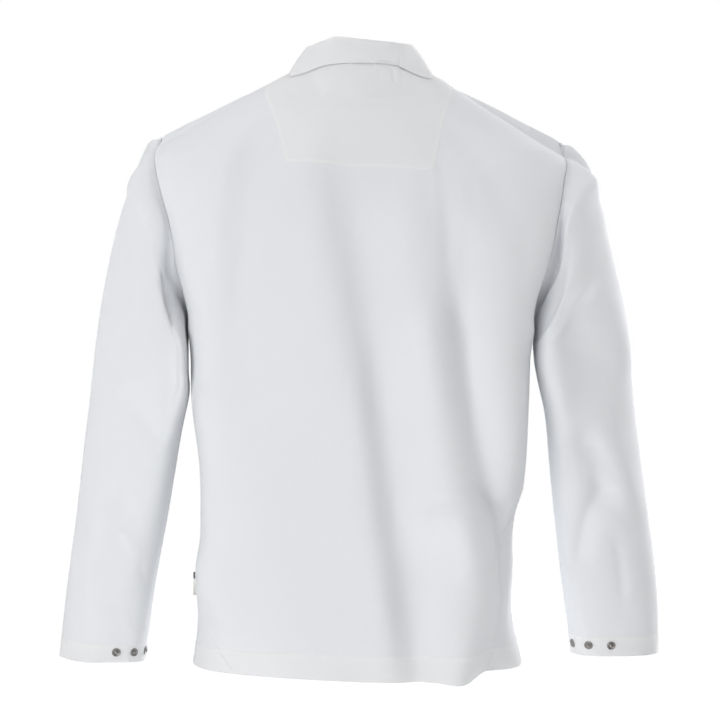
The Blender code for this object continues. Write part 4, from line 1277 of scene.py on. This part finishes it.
def labelTape():
    made = Finish("label_tape")
    down = made.split(made.node("ShaderNodeUVMap", {"uv_map": "cloth"}))[1]
    block = 1 - made.step(down, label["block"] - labelLook["edge"], label["block"] + labelLook["edge"])
    fuzz = made.noise(made.place(), *labelLook["fuzz"])
    light, dark = (
        made.mix(fuzz * labelLook["fuzzShare"][tone], labelLook[tone], labelLook[tone + "Fuzz"])
        for tone in ("light", "dark")
    )
    ribs = (down * (2 * math.pi / labelLook["ribs"])).sine() * labelLook["ribHeight"]
    normal = made.bump(ribs + fuzz * labelLook["fuzzHeight"], 0.7, 1.0)
    made.set(Base_Color=made.mix(block, light, dark), Roughness=0.7, Normal=normal)
    return made.material


metalLook = {
    "colour": (0.30, 0.29, 0.28, 1),
    "worn": (0.20, 0.19, 0.18, 1),
    "roughness": 0.24,
    "haze": (420.0, 3.0),
    "spots": (1500.0, 2.0),
    "spotRange": (0.55, 0.75),
    "spotShare": 0.5,
    "hazeRoughness": 0.14,
    "relief": (0.15, 0.0002),
}


def brightMetal():
    made = Finish("bright_metal")
    place = made.place()
    haze = made.noise(place, *metalLook["haze"])
    spots = made.step(made.noise(place, *metalLook["spots"]), *metalLook["spotRange"])
    made.set(
        Base_Color=made.mix(spots * metalLook["spotShare"], metalLook["colour"], metalLook["worn"]),
        Metallic=1.0,
        Roughness=metalLook["roughness"] + haze * metalLook["hazeRoughness"],
        Normal=made.bump(haze, *metalLook["relief"]),
    )
    return made.material


# Stitches follow a line of points on the cloth
stitch = {
    "length": 0.0024,
    "gap": 0.0006,
    "thread": 0.00024,
    "least": (0.92, 0.92, 0.90),
    "most": (1.08, 1.08, 1.04),
    "seed": 5,
    "above": 0.00012,
    "samples": {"hem": 700, "cuff": 260, "placket": 200, "across": 20},
}


def stitchTree():
    tree = bpy.data.node_groups.new("stitches", "GeometryNodeTree")
    tree.is_modifier = True
    wires = tree.interface
    wires.new_socket("Line", in_out="INPUT", socket_type="NodeSocketGeometry")
    for name in ("Stitch Length", "Gap", "Thread Radius"):
        wires.new_socket(name, in_out="INPUT", socket_type="NodeSocketFloat")
    wires.new_socket("Seed", in_out="INPUT", socket_type="NodeSocketInt")
    wires.new_socket("Finish", in_out="INPUT", socket_type="NodeSocketMaterial")
    wires.new_socket("Stitches", in_out="OUTPUT", socket_type="NodeSocketGeometry")
    given, ends = tree.nodes.new("NodeGroupInput"), tree.nodes.new("NodeGroupOutput")
    made = Maker(tree)
    line, length, gap, thread, seed, finish = (Value(made, socket) for socket in given.outputs[:6])
    curve = made.node("GeometryNodeMeshToCurve", {}, {"Mesh": line})
    sockets = {"Curve": curve, "Length": length + gap}
    even = made.node("GeometryNodeResampleCurve", {"mode": "LENGTH"}, sockets)
    along = made.node("GeometryNodeInputTangent")
    aim = made.node("FunctionNodeAlignRotationToVector", {"axis": "Z"}, {"Vector": along})
    one = made.node("GeometryNodeMeshUVSphere", {}, {"Segments": 6, "Rings": 6, "Radius": 1.0})
    size = made.node("ShaderNodeCombineXYZ", {}, {0: thread, 1: thread, 2: length * 0.5})
    sockets = {"Min": stitch["least"], "Max": stitch["most"], "Seed": seed}
    jitter = made.node("FunctionNodeRandomValue", {"data_type": "FLOAT_VECTOR"}, sockets)
    scale = made.node("ShaderNodeVectorMath", {"operation": "MULTIPLY"}, {0: size, 1: jitter})
    sockets = {"Points": even, "Instance": one, "Rotation": aim, "Scale": scale}
    placed = made.node("GeometryNodeInstanceOnPoints", {}, sockets)
    real = made.node("GeometryNodeRealizeInstances", {}, {0: placed})
    soft = made.node("GeometryNodeSetShadeSmooth", {}, {0: real})
    made.put(ends.inputs[0], made.node("GeometryNodeSetMaterial", {}, {0: soft, "Material": finish}))
    return tree


def stitchRows(name, lines, tree, finish):
    points = np.concatenate(lines)
    edges, first = [], 0
    for line in lines:
        edges += [(first + step, first + step + 1) for step in range(len(line) - 1)]
        first += len(line)
    mesh = bpy.data.meshes.new(name + "Line")
    mesh.from_pydata(points.tolist(), edges, [])
    row = addObject(name + "Line", mesh)
    added = row.modifiers.new("stitches", "NODES")
    added.node_group = tree
    given = {
        "Stitch Length": stitch["length"],
        "Gap": stitch["gap"],
        "Thread Radius": stitch["thread"],
        "Seed": stitch["seed"],
        "Finish": finish,
    }
    for item in tree.interface.items_tree:
        if item.name in given:
            added[item.identifier] = given[item.name]
    bpy.context.view_layer.update()
    plain = bpy.data.meshes.new_from_object(row.evaluated_get(bpy.context.evaluated_depsgraph_get()))
    bpy.data.objects.remove(row)
    plain.name = name
    return addObject(name, plain)


def hemLines():
    turn = np.linspace(0, 2 * np.pi, stitch["samples"]["hem"])
    return [bodyPoints(turn, np.full_like(turn, body["hemLevel"] + hem["stitch"]), stitch["above"])]


def cuffLines(side):
    around = np.linspace(0, 2 * np.pi, stitch["samples"]["cuff"])
    along = np.full_like(around, sleeveLength(side) - cuff["stitch"])
    return [sleevePoints(around, along, side, stitch["above"])]


def placketLines():
    low, high = panel["slitBottom"] - placket["below"], body["neckLevel"] - placket["stitchBelowNeck"]
    out = placket["gap"] + placket["thickness"] + stitch["above"]
    level = np.linspace(low + placket["stitchIn"], high, stitch["samples"]["placket"])
    half = (placket["width"] / 2 - placket["stitchIn"]) / bodyRows.at("front", level)
    lines = [bodyPoints(np.pi + sign * half, level, out) for sign in (-1, 1)]
    for height in (low + placket["stitchIn"], low + placket["below"] - placket["stitchIn"]):
        share = np.linspace(-1, 1, stitch["samples"]["across"])
        half = (placket["width"] / 2 - placket["stitchIn"]) / bodyRows.at("front", np.array(height))
        lines.append(bodyPoints(np.pi + share * half, np.full_like(share, height), out))
    return lines


def collarLines():
    turn, surface, apart, normals = fallWithSizes()
    sunk = surface - collar["stitchSunk"] * normals
    line = [
        [np.interp(collar["stitch"], apart[:, column], sunk[:, column, axis]) for axis in range(3)]
        for column in range(collar["stitchFrom"], len(turn) - collar["stitchFrom"])
    ]
    return [np.array(line)]


def ride(piece, slotName, *nodes):
    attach(piece, "root")
    if nodes:
        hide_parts(*nodes)
    return piece


for side in sides:
    armSeamLines[side] = armSeamLine(side)
print("form ready")

whiteFinish, labelFinish = whiteCloth(), labelTape()
metalFinish, stitchFinish = brightMetal(), threadFinish()
back = ride(backPanel(whiteFinish), "white_cloth", "back_panel")
front = ride(frontPanel(whiteFinish), "white_cloth", "front_panel")
print("body panels made")
sleeves = {side: ride(sleeve(side, whiteFinish), "white_cloth", f"sleeve_{side}") for side in sides}
print("sleeves made")
stand = ride(collarStand(whiteFinish), "white_cloth", "collar_stand")
fall = ride(collarFall(whiteFinish), "white_cloth", "collar_fall")
facingPiece = ride(neckFacing(whiteFinish), "white_cloth", "neck_facing")
over = ride(placketStrip("placketOver", placket["gap"], whiteFinish), "white_cloth", "placket_over")
underOut = -cloth["thickness"] - placket["gap"] - placket["thickness"]
under = ride(placketStrip("placketUnder", underOut, whiteFinish), "white_cloth", "placket_under")
tab = ride(sideLabel(labelFinish), "label_tape", "side_label")
print("collar, facing, placket and label made")
for side in sides:
    for number, angle in enumerate(snap["angles"][side], start=1):
        ride(snapCap(side, number, angle, metalFinish), "bright_metal", f"snap_{side}_{number}")
stitches = stitchTree()
ride(stitchRows("hemStitches", hemLines(), stitches, stitchFinish), "white_cloth")
for side in sides:
    name = f"cuffStitches{side.capitalize()}"
    ride(stitchRows(name, cuffLines(side), stitches, stitchFinish), "white_cloth")
ride(stitchRows("placketStitches", placketLines(), stitches, stitchFinish), "white_cloth")
ride(stitchRows("collarStitches", collarLines(), stitches, stitchFinish), "white_cloth")
print("snap caps and stitches made")

# Floor, light and camera
studio = {
    "cameraDistance": 2.3,
    "cameraHeight": -0.344,
    "lens": 94.25,
    "sensor": 36,
    "clipEnd": 100,
    "floorHeight": -1.55,
    "world": 0.02,
    "white": (1, 1, 1, 1),
    "floorGlow": (0.05, 1.08),
    "floorGlowFrom": (2.0, 4.0),
    "floorReach": 300.0,
    "floorTones": ((0.86, 0.86, 0.86, 1), (0.90, 0.90, 0.90, 1)),
}
lamps = {
    # place, size, watts
    "key": ((1.71, 2.45, -0.08), 1.8, 41),
    "upper": ((0.0, 2.12, 1.78), 1.8, 16),
    "bounce": ((0.2, 2.30, -1.15), 0.8, 7),
    "top": ((-0.3, -0.7, 1.9), 1.8, 7),
    "rightHigh": ((-1.99, 0.73, 1.78), 1.8, 23),
    "rimLeft": ((2.05, -0.55, 1.78), 1.8, 32),
    "rimRight": ((-2.05, -0.55, 1.78), 1.8, 17),
    "sideRight": ((-2.89, -0.77, -0.08), 1.8, 12),
    "behindRight": ((-1.92, -2.29, -0.08), 1.8, 90),
    "behindLeft": ((1.92, -2.29, -0.08), 1.8, 14),
}


def floorPlane():
    # the floor glows more strongly behind, so that it runs into the white beyond it
    made = Finish("floor")
    place = made.place()
    across = made.split(place)[1]
    near, far = studio["floorGlow"]
    glow = made.step(across * -1.0, *studio["floorGlowFrom"]) * (far - near) + near
    made.set(
        Base_Color=made.mix(made.noise(place, 2.0), *studio["floorTones"]),
        Roughness=0.9,
        Emission_Color=made.mix(glow, (0, 0, 0, 1), studio["white"]),
        Emission_Strength=1.0,
    )
    mesh = bpy.data.meshes.new("floor")
    reach, height = studio["floorReach"], studio["floorHeight"]
    corners = [(x * reach, y * reach, height) for x, y in ((-1, -1), (1, -1), (1, 1), (-1, 1))]
    mesh.from_pydata(corners, [], [(0, 1, 2, 3)])
    mesh.materials.append(made.material)
    plane = addObject("floor", mesh)


def studioLight():
    for name, (place, size, power) in lamps.items():
        data = bpy.data.lights.new(name, "AREA")
        data.size, data.energy = size, power
        lamp = addObject(name, data)
        lamp.location = place
        aim = Vector((0, 0, studio["cameraHeight"])) - Vector(place)
        lamp.rotation_euler = aim.to_track_quat("-Z", "Y").to_euler()
    world = bpy.data.worlds.new("studio")
    world.use_nodes = True
    nodes, link = world.node_tree.nodes, world.node_tree.links.new
    seen, lit = nodes.new("ShaderNodeBackground"), nodes["Background"]
    lit.inputs["Color"].default_value = studio["white"]
    lit.inputs["Strength"].default_value = studio["world"]
    seen.inputs["Color"].default_value = studio["white"]
    seen.inputs["Strength"].default_value = 1.0
    rays, chosen = nodes.new("ShaderNodeLightPath"), nodes.new("ShaderNodeMixShader")
    link(rays.outputs["Is Camera Ray"], chosen.inputs[0])
    link(lit.outputs[0], chosen.inputs[1])
    link(seen.outputs[0], chosen.inputs[2])
    link(chosen.outputs[0], nodes["World Output"].inputs[0])
    bpy.context.scene.world = world
    bpy.context.scene.view_settings.view_transform = "Standard"


def camera():
    data = bpy.data.cameras.new("camera")
    data.lens, data.sensor_width, data.clip_end = studio["lens"], studio["sensor"], studio["clipEnd"]
    eye = addObject("camera", data)
    eye.location = (0, studio["cameraDistance"], studio["cameraHeight"])
    eye.rotation_euler = (math.radians(90), 0, math.radians(180))
    bpy.context.scene.camera = eye


floorPlane()
studioLight()
camera()
print("studio ready")
